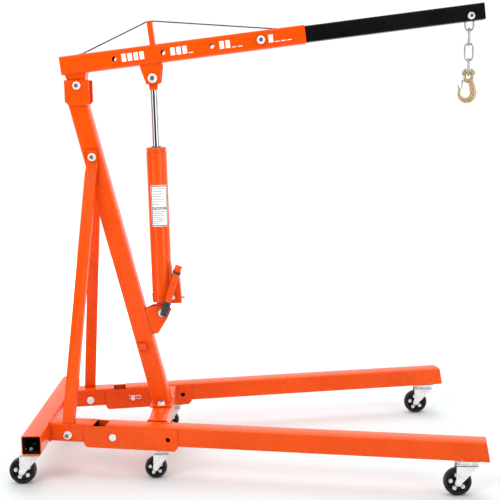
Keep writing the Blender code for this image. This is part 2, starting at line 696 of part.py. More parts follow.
def pump_block():
    """Pump and reservoir block on the ram's front, with the lever's pivot stud."""
    base = PUMP_BASE
    outline = [(REAR_X + 0.410, base), (REAR_X + 0.4765, base), (REAR_X + 0.4745, base + 0.045),
               (REAR_X + 0.470, base + PUMP_SHELF), (REAR_X + 0.444, base + PUMP_SHELF),
               (REAR_X + 0.441, base + 0.143), (REAR_X + 0.410, base + 0.146)]
    bm = bmesh.new()
    face = -0.024 - LEVER_PIVOT.y
    add_plate(bm, [(x - LEVER_PIVOT.x, z - LEVER_PIVOT.z) for x, z in outline], face, face + 0.048)
    body = make_object("pump_block", bm, "paint", LEVER_PIVOT)
    join(body, rod(LEVER_STUD + Vector((0, face + 0.002, 0)), LEVER_STUD + Vector((0, 0.0105, 0)), 0.005))
    cuts = bmesh.new()
    foot = RAM_FOOT - LEVER_PIVOT
    add_rod(cuts, foot, foot + RAM_AXIS * 0.4, RAM_RADIUS + 0.001 + GAP, 36)
    plunger = plunger_place() - LEVER_PIVOT
    add_rod(cuts, plunger + Vector((0, 0, -0.085)), plunger + Vector((0, 0, 0.05)), 0.006 + FIT)
    valve = valve_place() - LEVER_PIVOT
    add_rod(cuts, valve + Vector((-0.014, 0, 0)), valve + Vector((0.02, 0, 0)), 0.005 + FIT)
    cut(body, cuts)


def plunger_place():
    return Vector((REAR_X + 0.457, 0.004, PUMP_BASE + PUMP_SHELF))


def valve_place():
    return Vector((REAR_X + 0.4755, 0.008, PUMP_BASE + 0.016))


def pump_details():
    stations = [(-0.060, 0.006, False), (0.014, 0.006, False), (0.014, 0.009, False), (0.020, 0.009, False)]
    make_object("pump_plunger", fastener(stations), "chrome", plunger_place())
    stations = [(-0.012, 0.005, False), (0.004, 0.005, False), (0.004, 0.0075, True), (0.014, 0.0075, True)]
    turn = Vector((1, 0, 0)).to_track_quat("Z", "Y").to_euler()
    make_object("release_valve", fastener(stations), "zinc", valve_place(), turn)


def pump_lever():
    """Socket for the pump handle, open at both ends, with a lug around the pivot stud."""
    outer = 0.0125
    bore = 0.0095
    profile = [(bore, -0.052), (outer + 0.0005, -0.052), (outer + 0.0005, -0.004), (outer - 0.0005, -0.002),
               (outer - 0.0005, 0.122), (outer, 0.124), (outer, 0.134), (bore, 0.134)]
    turn = Matrix.Rotation(LEVER_TILT, 3, "Y").inverted()
    stud = turn @ LEVER_STUD
    socket = turned_ring(profile, 24)
    bmesh.ops.translate(socket, verts=socket.verts, vec=-stud)
    body = make_object("pump_lever", socket, "paint", LEVER_PIVOT + LEVER_STUD, (0, LEVER_TILT, 0))
    lug = bmesh.new()
    inner = 0.0035 - stud.x
    outline = arc(0, 0, 0.0105, -90, 90, 6) + [(inner, 0.0085), (inner, -0.0085)]
    add_plate(lug, outline, 0.0100, 0.0225)
    join(body, lug)
    cut(body, rod((0, 0.0098, 0), (0, 0.030, 0), 0.005 + FIT))


# Chain and hook

def link_top(index):
    """Centre of a link's upper wire: each link hangs inside the one above."""
    first = HOOK_BOLT.z + HOOK_BOLT_RADIUS + WIRE / 2 + GAP
    return first - index * (LINK_PITCH - GAP)


def link_pivot(index):
    """The point a link swings about: the bolt, or the lower wire of the link above."""
    if index == 0:
        return HOOK_BOLT.copy()
    return Vector((HOOK_BOLT.x, 0, link_top(index - 1) - LINK_PITCH - WIRE))


def chain_link(index):
    """Oval link of round wire; every second link is turned most of the way across the others."""
    radius = (LINK_WIDTH - WIRE) / 2
    half = (LINK_PITCH + WIRE) / 2 - radius
    centre = link_top(index) - (LINK_PITCH + WIRE) / 2 - link_pivot(index).z
    path = arc(0, half, radius, 0, 180, 6) + arc(0, -half, radius, 180, 360, 6)
    across = Vector((1, 0, 0))
    if index % 2:
        across = Vector((math.sin(LINK_TWIST), math.cos(LINK_TWIST), 0))
    rings = []
    count = len(path)
    for i, (a, b) in enumerate(path):
        before = path[i - 1]
        after = path[(i + 1) % count]
        direction = Vector((after[0] - before[0], after[1] - before[1])).normalized()
        normal = across * direction.y + Vector((0, 0, -direction.x))
        side = across.cross(Vector((0, 0, 1)))
        centre_point = across * a + Vector((0, 0, b + centre))
        ring = []
        for k in range(8):
            angle = 2 * math.pi * k / 8
            ring.append(centre_point + (normal * math.cos(angle) + side * math.sin(angle)) * (WIRE / 2))
        rings.append(ring)
    bm = skin(bmesh.new(), rings, loop=True)
    make_object("chain_link_" + str(index + 1), bm, "zinc", link_pivot(index))


HOOK_PIN = Vector((HOOK_BOLT.x, 0, link_top(LINKS - 1) - LINK_PITCH - WIRE + WIRE / 2 + HOOK_PIN_RADIUS + GAP))
LATCH_PIVOT = HOOK_PIN + Vector((-0.0190, 0, -0.0237))


def hook():
    """Clevis hook: a curved body that tapers to its tip, two ears and the clevis pin."""
    centre = Vector((-0.0066, 0, -0.0682))
    bend = 0.0245
    path = [Vector((0.004, 0, -0.016)), Vector((0.011, 0, -0.030))]
    path += [Vector((x, 0, z)) for x, z in arc(centre.x, centre.z, bend, 48, -205, 14)]
    path += [Vector((-0.0345, 0, -0.0420))]
    thick = [0.0070, 0.0070]
    steps = 14
    for k in range(steps + 1):
        share = k / steps
        thick.append(0.0075 + 0.0035 * math.sin(math.pi * min(share * 1.35, 1.0)) - 0.0042 * share)
    thick.append(0.0012)
    bm = sweep(path, thick, Vector((0, 1, 0)), 12, flatten=0.95)
    body = make_object("hook", bm, "gold", HOOK_PIN)
    top = bmesh.new()
    cheek = [(-0.0155, 0.002), (-0.0155, -0.0215), (-0.003, -0.034), (0.0155, -0.034), (0.0155, 0.002)]
    add_plate(top, cheek + arc(0, 0.002, 0.0155, 0, 180, 8)[1:-1], -0.0095, 0.0095)
    join(body, top)
    cuts = bmesh.new()
    add_box(cuts, (0.0165, 0.04, 0.040), (0, 0, 0.0035))
    cut(body, cuts)
    join(body, rod((-0.022, 0, 0), (0.022, 0, 0), HOOK_PIN_RADIUS, 12))


def hook_latch():
    """Sprung strip that closes the hook's mouth from the inside."""
    outline = [(x, z) for x, z in arc(0, 0, 0.0030, -20, 200, 6)]
    outline += [(-0.0034, -0.026), (-0.0016, -0.030), (0.0002, -0.026)]
    bm = bmesh.new()
    add_plate(bm, outline, -0.005, 0.005)
    make_object("hook_latch", bm, "zinc", LATCH_PIVOT)


# Casters

def caster(label, x, y, top, size):
    """Swivel caster: fixed top plate, fork that turns about Z, wheel that rolls about its axle."""
    height, radius, width, trail = size
    swivel = Vector((x, y, top - GAP))
    scale = height / BIG_CASTER[0]
    plate = 0.004
    race = 0.009 * scale
    bm = box((0.072, 0.060, plate), (0, 0, -plate / 2))
    top_plate = make_object("caster_plate_" + label, bm, "zinc", swivel)
    join(top_plate, rod((0, 0, -plate + 0.001), (0, 0, -plate - race), 0.024 * scale, 24))
    crown_top = -plate - race - GAP
    crown = 0.0035
    half = width / 2 + 0.0015
    sheet = 0.003
    axle_z = radius - swivel.z
    back = -trail - 0.006
    front = 0.032 * scale
    crown_size = (front - back, 2 * (half + sheet) - 0.0004, crown)
    bm = box(crown_size, ((front + back) / 2, 0, crown_top - crown / 2))
    fork = make_object("caster_fork_" + label, bm, "zinc", swivel)
    cheeks = bmesh.new()
    cheek = [(front - 0.0004, crown_top - 0.001), (back + 0.0004, crown_top - 0.001)]
    cheek += arc(-trail, axle_z, 0.010, 170, 330, 6)
    for side in (-1, 1):
        low, high = sorted((side * half, side * (half + sheet)))
        add_plate(cheeks, cheek, low, high)
    join(fork, cheeks)
    reach = half + sheet + 0.004
    join(fork, rod((-trail, -reach, axle_z), (-trail, reach, axle_z), 0.0055, 12))
    wheel(label, swivel + Vector((-trail, 0, axle_z)), radius, width)


def wheel(label, centre, radius, width):
    half = width / 2
    bore = 0.0055 + FIT
    segments = 28
    tread = radius / math.cos(math.pi / segments)
    profile = [(bore, -half), (0.012, -half), (0.014, -half + 0.004), (radius - 0.012, -half + 0.004),
               (radius - 0.010, -half), (tread - 0.003, -half), (tread, -half + 0.004),
               (tread, half - 0.004), (tread - 0.003, half), (radius - 0.010, half),
               (radius - 0.012, half - 0.004), (0.014, half - 0.004), (0.012, half), (bore, half)]
    bm = turned_ring(profile, segments, axis="Y")
    make_object("caster_wheel_" + label, bm, "rubber", centre)


def hang_on_joint(name, place, pieces):
    """Puts one empty on a joint's axis as the parent of every piece that turns with it."""
    empty = bpy.data.objects.new(name, None)
    empty.location = place
    bpy.context.scene.collection.objects.link(empty)
    for piece in pieces:
        child = bpy.data.objects[piece]
        child.parent = empty
        child.matrix_parent_inverse = Matrix.Translation(-place)


def build():
    clear_scene()
    rear_cross_tube()
    cross_beam()
    for label, side in SIDES:
        leg_stub(label, side)
        leg_socket(label, side)
        leg_pin(label, side)
        leg(label, side)
        brace(label, side)
        foot_bolt(label, side)
        caster("rear_" + label, REAR_CASTER[0], side * REAR_CASTER[1], FRAME_TOP - TUBE, BIG_CASTER)
        place = leg_point(side, MID_CASTER_STATION, 0, 0)
        caster("mid_" + label, place.x, place.y, SOCKET_BOTTOM, SMALL_CASTER)
        place = leg_point(side, FRONT_CASTER_STATION, 0, 0)
        caster("front_" + label, place.x, place.y, FRAME_TOP - TUBE, BIG_CASTER)
    mast()
    brace_bolts()
    boom_tube()
    ram_boom_bracket()
    truss_rod()
    boom_bolts()
    extension_tube()
    ram_mast_bracket()
    ram_foot_pin()
    ram_body()
    ram_gland()
    piston()
    piston_rod()
    pump_block()
    pump_details()
    pump_lever()
    for index in range(LINKS):
        chain_link(index)
    hook()
    hook_latch()
    for label, side in SIDES:
        hang_on_joint("fold_axis_" + label, leg_point(side, PIN_STATION, 0, PIN_Z),
                      ("leg_" + label, "caster_plate_front_" + label))
    hang_on_joint("boom_axis", PIVOT, ("boom_tube", "ram_boom_bracket", "truss_rod", "ram_head_bolt",
                                       "extension_lock_bolt"))
    hang_on_joint("ram_axis", RAM_FOOT, ("ram_body", "ram_gland", "pump_block"))


build()
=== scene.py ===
"""Looks of the folding engine hoist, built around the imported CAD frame.

Units are metres, +Z is up, +X runs from the rear cross tube towards the hook, and -Y faces the camera.
Places come from the record's joints and from the CAD nodes' boxes.
"""
import json
import math

import bmesh
import bpy
from mathutils import Matrix, Vector


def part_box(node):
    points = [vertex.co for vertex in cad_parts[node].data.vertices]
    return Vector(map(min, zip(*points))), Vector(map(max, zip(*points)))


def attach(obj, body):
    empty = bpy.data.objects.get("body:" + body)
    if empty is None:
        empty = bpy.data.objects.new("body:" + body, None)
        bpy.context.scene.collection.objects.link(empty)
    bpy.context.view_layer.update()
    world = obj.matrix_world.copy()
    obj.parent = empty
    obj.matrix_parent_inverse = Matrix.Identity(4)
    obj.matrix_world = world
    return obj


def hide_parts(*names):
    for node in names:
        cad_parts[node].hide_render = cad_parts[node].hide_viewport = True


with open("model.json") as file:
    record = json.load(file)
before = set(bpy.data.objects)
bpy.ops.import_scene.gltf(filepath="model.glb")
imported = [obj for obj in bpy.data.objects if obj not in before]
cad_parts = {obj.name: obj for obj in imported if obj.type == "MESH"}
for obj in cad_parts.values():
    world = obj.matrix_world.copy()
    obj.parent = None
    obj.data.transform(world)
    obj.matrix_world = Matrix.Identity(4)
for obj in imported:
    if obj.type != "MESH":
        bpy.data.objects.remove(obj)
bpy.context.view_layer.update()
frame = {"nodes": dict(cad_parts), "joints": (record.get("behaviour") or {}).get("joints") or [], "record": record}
scene = bpy.context.scene
joints = {joint["name"]: joint for joint in frame["joints"]}
SIDES = (("right", -1), ("left", 1))
ENDS = ("rear", "mid", "front")


def joint_place(name):
    return Vector(joints[name]["pos_m"])


def joint_axis(name):
    return Vector(joints[name]["axis"]).normalized()


PIVOT = joint_place("boom_lower")
BOOM_X = joint_axis("extension_slide")
RAM_FOOT = joint_place("ram_lean_low")
RAM_Z = joint_axis("piston_travel")
HOOK_BOLT = joint_place("link_1_swing")
HOOK_PIN = joint_place("hook_swing")
Y_AXIS = Vector((0, 1, 0))
UP = Vector((0, 0, 1))

# Sizes that the looks share with the CAD
TUBE = 0.065
BOOM = 0.062
MAST = 0.0635
RAM_RADIUS = 0.035
ROD_RADIUS = 0.013
PIVOT_BELOW = 0.0719
PIVOT_ALONG = 0.0468
PIN_HOLE_FIRST = 0.1855
PIN_HOLE_PITCH = 0.1671
MAST_LEAN = math.radians(13.68)
MAST_FOOT_TOP = 0.1915
RAM_TOP = 0.5640
RAM_COLLAR = 0.037
LEVER_TILT = math.radians(18.5)
LEVER_Y = -0.050
TRUSS_POST = 0.3195
TRUSS_RISE = 0.077
END_WHEEL = 0.045
END_WHEEL_WIDTH = 0.032
MID_WHEEL_WIDTH = 0.028
CHAIN_WIRE = 0.0035
CHAIN_RADIUS = 0.014
WASHER = 0.0022
FOLD_PIN_HALF = 0.0363
BASE_BEAD = 0.0028
FOOT_BEAD = 0.0030
BRACKET_BEAD = 0.0026
HEAD_BEAD = 0.0024


# Camera, solved from the straight edges of the hoist
CAMERA_PLACE = Vector((0.0372, -3.299, 1.2526))
CAMERA_TURN = math.radians(0.571)
CAMERA_DOWN = math.radians(8.884)
CAMERA_ROLL = math.radians(-0.834)
CAMERA_LENS = 68.3


def make_camera():
    data = bpy.data.cameras.new("camera")
    data.lens = CAMERA_LENS
    data.sensor_width = 36
    camera = bpy.data.objects.new("camera", data)
    scene.collection.objects.link(camera)
    forward = Vector((-math.sin(CAMERA_TURN) * math.cos(CAMERA_DOWN),
                      math.cos(CAMERA_TURN) * math.cos(CAMERA_DOWN), -math.sin(CAMERA_DOWN)))
    level = Vector((math.cos(CAMERA_TURN), math.sin(CAMERA_TURN), 0))
    upright = level.cross(forward)
    right = level * math.cos(CAMERA_ROLL) + upright * math.sin(CAMERA_ROLL)
    top = upright * math.cos(CAMERA_ROLL) - level * math.sin(CAMERA_ROLL)
    camera.matrix_world = axes_matrix(CAMERA_PLACE, right, top, -forward)
    scene.camera = camera


def axes_matrix(origin, x, y, z):
    columns = Matrix((x, y, z)).transposed().to_4x4()
    return Matrix.Translation(origin) @ columns


# Materials

class Look:
    """One node-based material; wires are made through short calls."""

    def __init__(self, name, slot, color, metallic=0.0, ior=1.45):
        self.material = bpy.data.materials.new(name)
        self.material.use_nodes = True
        self.tree = self.material.node_tree
        self.slot = slot
        self.shader = self.tree.nodes["Principled BSDF"]
        self.shader.inputs["Base Color"].default_value = (*color, 1)
        self.shader.inputs["Metallic"].default_value = metallic
        self.shader.inputs["IOR"].default_value = ior
        self.place = self.tree.nodes.new("ShaderNodeTexCoord").outputs["Object"]

    def add(self, kind, wires, **values):
        node = self.tree.nodes.new(kind)
        for key, value in values.items():
            setattr(node, key, value)
        for socket, value in wires.items():
            if isinstance(value, bpy.types.NodeSocket):
                self.tree.links.new(value, node.inputs[socket])
            else:
                node.inputs[socket].default_value = value
        return node

    def noise(self, scale, detail=3.0, stretch=None):
        source = self.place
        if stretch:
            source = self.add("ShaderNodeMapping", {"Vector": source, "Scale": stretch}).outputs[0]
        return self.add("ShaderNodeTexNoise", {"Vector": source, "Scale": scale,
                                               "Detail": detail}).outputs["Fac"]

    def spots(self, scale):
        wires = {"Vector": self.place, "Scale": scale}
        return self.add("ShaderNodeTexVoronoi", wires).outputs["Color"]

    def between(self, factor, low, high, span=(0.35, 0.65)):
        wires = {"Value": factor, "From Min": span[0], "From Max": span[1], "To Min": low, "To Max": high}
        return self.add("ShaderNodeMapRange", wires).outputs[0]

    def mix(self, factor, first, second, mode="MIX"):
        node = self.add("ShaderNodeMix", {}, data_type="RGBA", blend_type=mode)
        for index, value in ((0, factor), (6, first), (7, second)):
            if isinstance(value, bpy.types.NodeSocket):
                self.tree.links.new(value, node.inputs[index])
            else:
                node.inputs[index].default_value = (*value, 1) if isinstance(value, tuple) else value
        return node.outputs[2]

    def paint(self, socket):
        self.tree.links.new(socket, self.shader.inputs["Base Color"])

    def rough(self, socket):
        self.tree.links.new(socket, self.shader.inputs["Roughness"])

    def bump(self, heights):
        """heights is a list of (socket, strength, distance), laid over each other."""
        normal = None
        for socket, strength, distance in heights:
            wires = {"Height": socket, "Strength": strength, "Distance": distance}
            if normal is not None:
                wires["Normal"] = normal
            normal = self.add("ShaderNodeBump", wires).outputs[0]
        self.tree.links.new(normal, self.shader.inputs["Normal"])


def powder_coat(name, slot, deep, bright, rough_low, rough_high, ior, painted_crevice_shade):
    """Baked powder paint: slow colour drift and orange-peel skin, plus painted shade where the colour darkens in
    the corners.
    """
    look = Look(name, slot, bright, ior=ior)
    drift = look.mix(look.between(look.noise(5.0, 4.0), 0.0, 1.0), deep, bright)
    # Painted shade: an ambient occlusion mask darkens the colour towards the given corner colour in corners and
    # crevices.
    shade = look.add("ShaderNodeAmbientOcclusion", {"Distance": 0.012}, samples=4).outputs["AO"]
    look.paint(look.mix(look.between(shade, 0.0, 1.0, (0.25, 0.85)), painted_crevice_shade, drift))
    look.rough(look.between(look.noise(60.0, 5.0), rough_low, rough_high))
    look.bump([(look.noise(420.0, 2.0), 0.10, 0.0006), (look.noise(90.0, 2.0), 0.05, 0.002)])
    return look


def plated(name, slot, dull, bright, rough_low, rough_high, metallic=1.0, grain=260.0):
    """Plated steel: fine crystal patches, a little cloudiness and hairline grain."""
    look = Look(name, slot, bright, metallic=metallic)
    cloud = look.mix(look.between(look.noise(38.0, 5.0), 0.0, 1.0), dull, bright)
    patches = look.mix(0.10, cloud, look.spots(grain), "OVERLAY")
    look.paint(patches)
    look.rough(look.between(look.noise(150.0, 4.0), rough_low, rough_high))
    look.bump([(look.noise(900.0, 2.0), 0.06, 0.0003)])
    return look


def make_looks():
    looks = {}
    # The last colour given to each coat is its painted shade for corners and crevices.
    looks["paint"] = powder_coat("orange_powder_coat", "painted_orange", (0.84, 0.076, 0.0003),
                                 (0.93, 0.087, 0.0003), 0.22, 0.30, 1.45, (0.50, 0.032, 0.0004))
    looks["black"] = powder_coat("black_satin_coat", "black_paint", (0.0035, 0.0035, 0.0035),
                                 (0.0055, 0.0055, 0.0055), 0.26, 0.36, 1.35, (0.002, 0.002, 0.002))
    looks["zinc"] = plated("bright_zinc", "zinc", (0.88, 0.89, 0.88), (0.99, 0.99, 0.98), 0.22, 0.36, 0.12)
    looks["thread"] = plated("thread_zinc", "zinc", (0.16, 0.19, 0.23), (0.34, 0.38, 0.44), 0.25, 0.40, 0.6)
    looks["chain"] = plated("chain_zinc", "zinc", (0.55, 0.57, 0.60), (0.86, 0.87, 0.88), 0.16, 0.28, 0.80)
    looks["chrome"] = plated("hard_chrome", "chrome", (0.80, 0.81, 0.83), (0.90, 0.91, 0.92), 0.05, 0.10)
    looks["latch"] = plated("blue_zinc", "zinc", (0.34, 0.40, 0.50), (0.56, 0.62, 0.70), 0.22, 0.36, 0.5)
    gold = plated("yellow_zinc_plate", "yellow_zinc", (0.40, 0.28, 0.13), (0.70, 0.55, 0.31), 0.26, 0.42,
                  0.45, 90.0)
    tint = gold.mix(gold.between(gold.noise(28.0, 3.0), 0.0, 0.45), (0.72, 0.56, 0.33), (0.56, 0.56, 0.30))
    gold.paint(gold.mix(0.45, gold.shader.inputs["Base Color"].links[0].from_socket, tint))
    looks["gold"] = gold
    looks["steel"] = plated("dark_drawn_steel", "steel", (0.10, 0.07, 0.06), (0.22, 0.16, 0.14), 0.38, 0.55,
                            0.7)
    # Near-black lining for the tube hollows: painted shade where the open tubes are dark within.
    inside = Look("bare_tube_inside", "painted_orange", (0.010, 0.009, 0.008), metallic=0.0)
    inside.paint(inside.mix(inside.noise(30.0, 4.0), (0.004, 0.003, 0.003), (0.018, 0.014, 0.012)))
    inside.rough(inside.between(inside.noise(90.0), 0.75, 0.95))
    looks["inside"] = inside
    rubber = Look("wheel_rubber", "wheel_rubber", (0.010, 0.010, 0.010))
    rubber.paint(rubber.mix(rubber.between(rubber.noise(45.0, 5.0), 0.0, 1.0), (0.006, 0.006, 0.006),
                            (0.016, 0.016, 0.016)))
    rubber.rough(rubber.between(rubber.noise(120.0, 4.0), 0.38, 0.58))
    rubber.bump([(rubber.noise(700.0, 2.0), 0.15, 0.0005)])
    looks["rubber"] = rubber
    grip = Look("dark_grey_sleeve", "black_paint", (0.04, 0.04, 0.045))
    grip.paint(grip.mix(grip.noise(70.0, 4.0), (0.028, 0.029, 0.032), (0.060, 0.062, 0.066)))
    grip.rough(grip.between(grip.noise(200.0), 0.45, 0.6))
    grip.bump([(grip.noise(600.0), 0.15, 0.0005)])
    looks["grip"] = grip
    for name, first, second in (("white", (0.94, 0.94, 0.93), (1.0, 1.0, 0.99)),
                                ("ink", (0.02, 0.02, 0.02), (0.04, 0.04, 0.04)),
                                ("grey_ink", (0.42, 0.42, 0.43), (0.55, 0.55, 0.56))):
        look = Look(name + "_print", None, second)
        look.paint(look.mix(look.noise(55.0, 3.0), first, second))
        look.rough(look.between(look.noise(160.0), 0.32, 0.45))
        look.bump([(look.noise(800.0), 0.05, 0.0003)])
        looks[name] = look
    return looks


# Mesh helpers

def close_skin(bm, rings, loop=False):
    """Quads between rings of equal length, with end caps unless the rings form a loop."""
    columns = [[bm.verts.new(point) for point in ring] for ring in rings]
    pairs = list(zip(columns, columns[1:]))
    if loop:
        pairs.append((columns[-1], columns[0]))
    count = len(rings[0])
    for low, high in pairs:
        for k in range(count):
            after = (k + 1) % count
            bm.faces.new((low[k], low[after], high[after], high[k]))
    if not loop:
        bm.faces.new(columns[0])
        bm.faces.new(list(reversed(columns[-1])))
    return bm


def circle(radius, height, segments):
    return [Vector((radius * math.cos(2 * math.pi * k / segments),
                    radius * math.sin(2 * math.pi * k / segments), height)) for k in range(segments)]


def turned(profile, segments=64, bm=None):
    """Solid of revolution about Z. A profile that starts and ends on the axis is solid, others are rings."""
    bm = bm or bmesh.new()
    solid = profile[0][0] == 0
    if not solid:
        return close_skin(bm, [circle(r, h, segments) for r, h in profile], loop=True)
    columns = []
    for radius, height in profile:
        if radius == 0:
            columns.append([bm.verts.new((0, 0, height))])
        else:
            columns.append([bm.verts.new(point) for point in circle(radius, height, segments)])
    for low, high in zip(columns, columns[1:]):
        for k in range(segments):
            after = (k + 1) % segments
            if len(low) == 1:
                bm.faces.new((low[0], high[after], high[k]))
            elif len(high) == 1:
                bm.faces.new((low[k], low[after], high[0]))
            else:
                bm.faces.new((low[k], low[after], high[after], high[k]))
    return bm


def hexagon_reach(half_flats, angle):
    sector = math.radians(60)
    return half_flats / math.cos((angle % sector) - sector / 2)


def hex_ring(half_flats, limit, height, segments=48):
    ring = []
    for k in range(segments):
        angle = 2 * math.pi * k / segments
        reach = min(hexagon_reach(half_flats, angle), limit)
        ring.append(Vector((reach * math.cos(angle), reach * math.sin(angle), height)))
    return ring


def hex_block(bm, half_flats, low, high):
    """Hexagonal head or nut with both faces chamfered."""
    corner = half_flats / math.cos(math.radians(30))
    slope = (high - low) * 0.16
    inner = half_flats * 0.97
    close_skin(bm, [hex_ring(half_flats, inner, low), hex_ring(half_flats, corner * 0.985, low + slope),
                    hex_ring(half_flats, corner, low + 1.6 * slope),
                    hex_ring(half_flats, corner, high - 1.6 * slope),
                    hex_ring(half_flats, corner * 0.985, high - slope), hex_ring(half_flats, inner, high)])
    return bm


def washer(bm, radius, low, high, bore):
    edge = (high - low) * 0.25
    turned([(bore, low), (radius - edge, low), (radius, low + edge), (radius, high - edge),
            (radius - edge, high), (bore, high)], 48, bm)
    return bm


def threads(radius, low, high, pitch=0.0016):
    """Profile of a threaded end: ridges, then a chamfered tip at high."""
    profile = [(0, low), (radius * 0.9, low)]
    turns = max(2, int((high - low - 0.001) / pitch))
    for k in range(turns):
        base = low + (high - low - 0.001) * k / turns
        step = (high - low - 0.001) / turns
        profile += [(radius * 0.88, base + 0.15 * step), (radius, base + 0.55 * step),
                    (radius * 0.88, base + step)]
    return profile + [(radius * 0.72, high), (0, high)]


def swept(bm, path, radius, segments=16, loop=False, flatten=1.0, side=Y_AXIS):
    """Round bar along a path; radius is a number or one number for each point."""
    rings = []
    count = len(path)
    for i, point in enumerate(path):
        before = path[i - 1] if loop or i else path[0]
        after = path[(i + 1) % count] if loop or i < count - 1 else path[-1]
        tangent = (after - before).normalized()
        across = tangent.cross(side)
        if across.length < 0.05:
            across = tangent.cross(UP)
        across.normalize()
        lift = across.cross(tangent).normalized()
        reach = radius[i] if isinstance(radius, list) else radius
        ring = []
        for k in range(segments):
            angle = 2 * math.pi * k / segments
            level = across * (reach * math.cos(angle))
            ring.append(point + level + lift * (flatten * reach * math.sin(angle)))
        rings.append(ring)
    return close_skin(bm, rings, loop)


def plate(bm, outline, low, high):
    """Flat plate: an outline in X and Z, between two Y values."""
    return close_skin(bm, [[Vector((x, y, z)) for x, z in outline] for y in (low, high)])


def arc(x, z, radius, start, end, steps):
    points = []
    for k in range(steps + 1):
        angle = math.radians(start + (end - start) * k / steps)
        points.append((x + radius * math.cos(angle), z + radius * math.sin(angle)))
    return points


def rounded_box(bm, size, centre=(0, 0, 0)):
    made = bmesh.ops.create_cube(bm, size=1.0)
    for vert in made["verts"]:
        vert.co = Vector((vert.co.x * size[0], vert.co.y * size[1], vert.co.z * size[2])) + Vector(centre)
    return bm


def smooth_path(points, steps=8):
    """Catmull-Rom curve through the points."""
    path = []
    last = len(points) - 1
    for i in range(last):
        a, b, c, d = points[max(i - 1, 0)], points[i], points[i + 1], points[min(i + 2, last)]
        for k in range(steps):
            t = k / steps
            path.append(0.5 * (2 * b + (c - a) * t + (2 * a - 5 * b + 4 * c - d) * t * t
                               + (3 * b - a - 3 * c + d) * t ** 3))
    return path + [points[-1]]


def shade(obj, bevel, angle=32):
    """Smooth shading that stays sharp at real edges, with small rounded edges in the mesh."""
    obj.data.shade_smooth()
    obj.data.set_sharp_from_angle(angle=math.radians(angle))
    if bevel:
        modifier = obj.modifiers.new("edge", "BEVEL")
        modifier.width = bevel
        modifier.segments = 2
        modifier.limit_method = "ANGLE"
        modifier.angle_limit = math.radians(angle)
        modifier.harden_normals = True
        modifier.use_clamp_overlap = True


def emit(name, bm, look, body, place=None, replaces=(), bevel=0.0, angle=32):
    """Turns a bmesh into a finished piece that rides on a body."""
    bmesh.ops.recalc_face_normals(bm, faces=bm.faces)
    mesh = bpy.data.meshes.new(name)
    bm.to_mesh(mesh)
    bm.free()
    obj = bpy.data.objects.new(name, mesh)
    scene.collection.objects.link(obj)
    if place is not None:
        obj.matrix_world = place
    return dress(obj, look, body, replaces, bevel, angle)


def spun(name, look, body, place, profile, segments, replaces=(), angle=30):
    """A finished piece that is one turned shape."""
    return emit(name, turned(profile, segments), look, body, place, replaces, angle=angle)


def dress(obj, look, body, replaces=(), bevel=0.0, angle=32):
    obj.data.materials.clear()
    obj.data.materials.append(LOOKS[look].material)
    shade(obj, bevel, angle)
    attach(obj, body)
    if replaces:
        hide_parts(*replaces)
    return obj


def facing(origin, direction, about=UP):
    """Matrix whose Z runs along direction, with X square to about."""
    z = Vector(direction).normalized()
    helper = Vector(about)
    if abs(z.dot(helper)) > 0.98:
        helper = Vector((1, 0, 0))
    x = helper.cross(z).normalized()
    return axes_matrix(Vector(origin), x, z.cross(x), z)


def body_of(node):
    for body, members in frame["record"]["behaviour"]["bodies"].items():
        if node in members:
            return body
    raise KeyError(node)


LOOKS = make_looks()
BOOM_FRAME = axes_matrix(PIVOT, BOOM_X, Y_AXIS, BOOM_X.cross(Y_AXIS))
RAM_FRAME = axes_matrix(RAM_FOOT, Y_AXIS.cross(RAM_Z), Y_AXIS, RAM_Z)


# Welded structure: the CAD shapes with cleaned faces and rounded edges

def refined(node, look, bevel=0.0008, inside=None):
    """The CAD shape with merged faces and small rounded edges; the optional face test picks the inward faces that
    get the near-black lining, which is painted shade for the dark hollow.
    """
    source = frame["nodes"][node]
    bm = bmesh.new()
    bm.from_mesh(source.data)
    bmesh.ops.remove_doubles(bm, verts=bm.verts, dist=0.00002)
    bmesh.ops.dissolve_limit(bm, angle_limit=math.radians(0.8), verts=bm.verts, edges=bm.edges)
    mesh = bpy.data.meshes.new(node + "_shape")
    bm.to_mesh(mesh)
    bm.free()
    obj = bpy.data.objects.new(node + "_shape", mesh)
    scene.collection.objects.link(obj)
    dress(obj, look, body_of(node), (node,), bevel)
    if inside:
        obj.data.materials.append(LOOKS["inside"].material)
        for face in obj.data.polygons:
            if inside(Vector(face.center), Vector(face.normal)):
                face.material_index = 1
    return obj


def bore_test(origin, along, half):
    """Faces that look inwards, closer to a tube's middle line than half."""
    def test(centre, normal):
        offset = centre - origin
        offset -= along * offset.dot(along)
        return offset.length < half and normal.dot(offset) < -0.2 * offset.length
    return test


def leg_frame(side_name):
    axis = joint_axis(side_name + "_leg_fold")
    along = UP.cross(axis)
    if along.x < 0:
        along = -along
    return axes_matrix(joint_place(side_name + "_leg_fold"), along, UP.cross(along), UP)


def middle(node):
    low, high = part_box(node)
    return (low + high) / 2


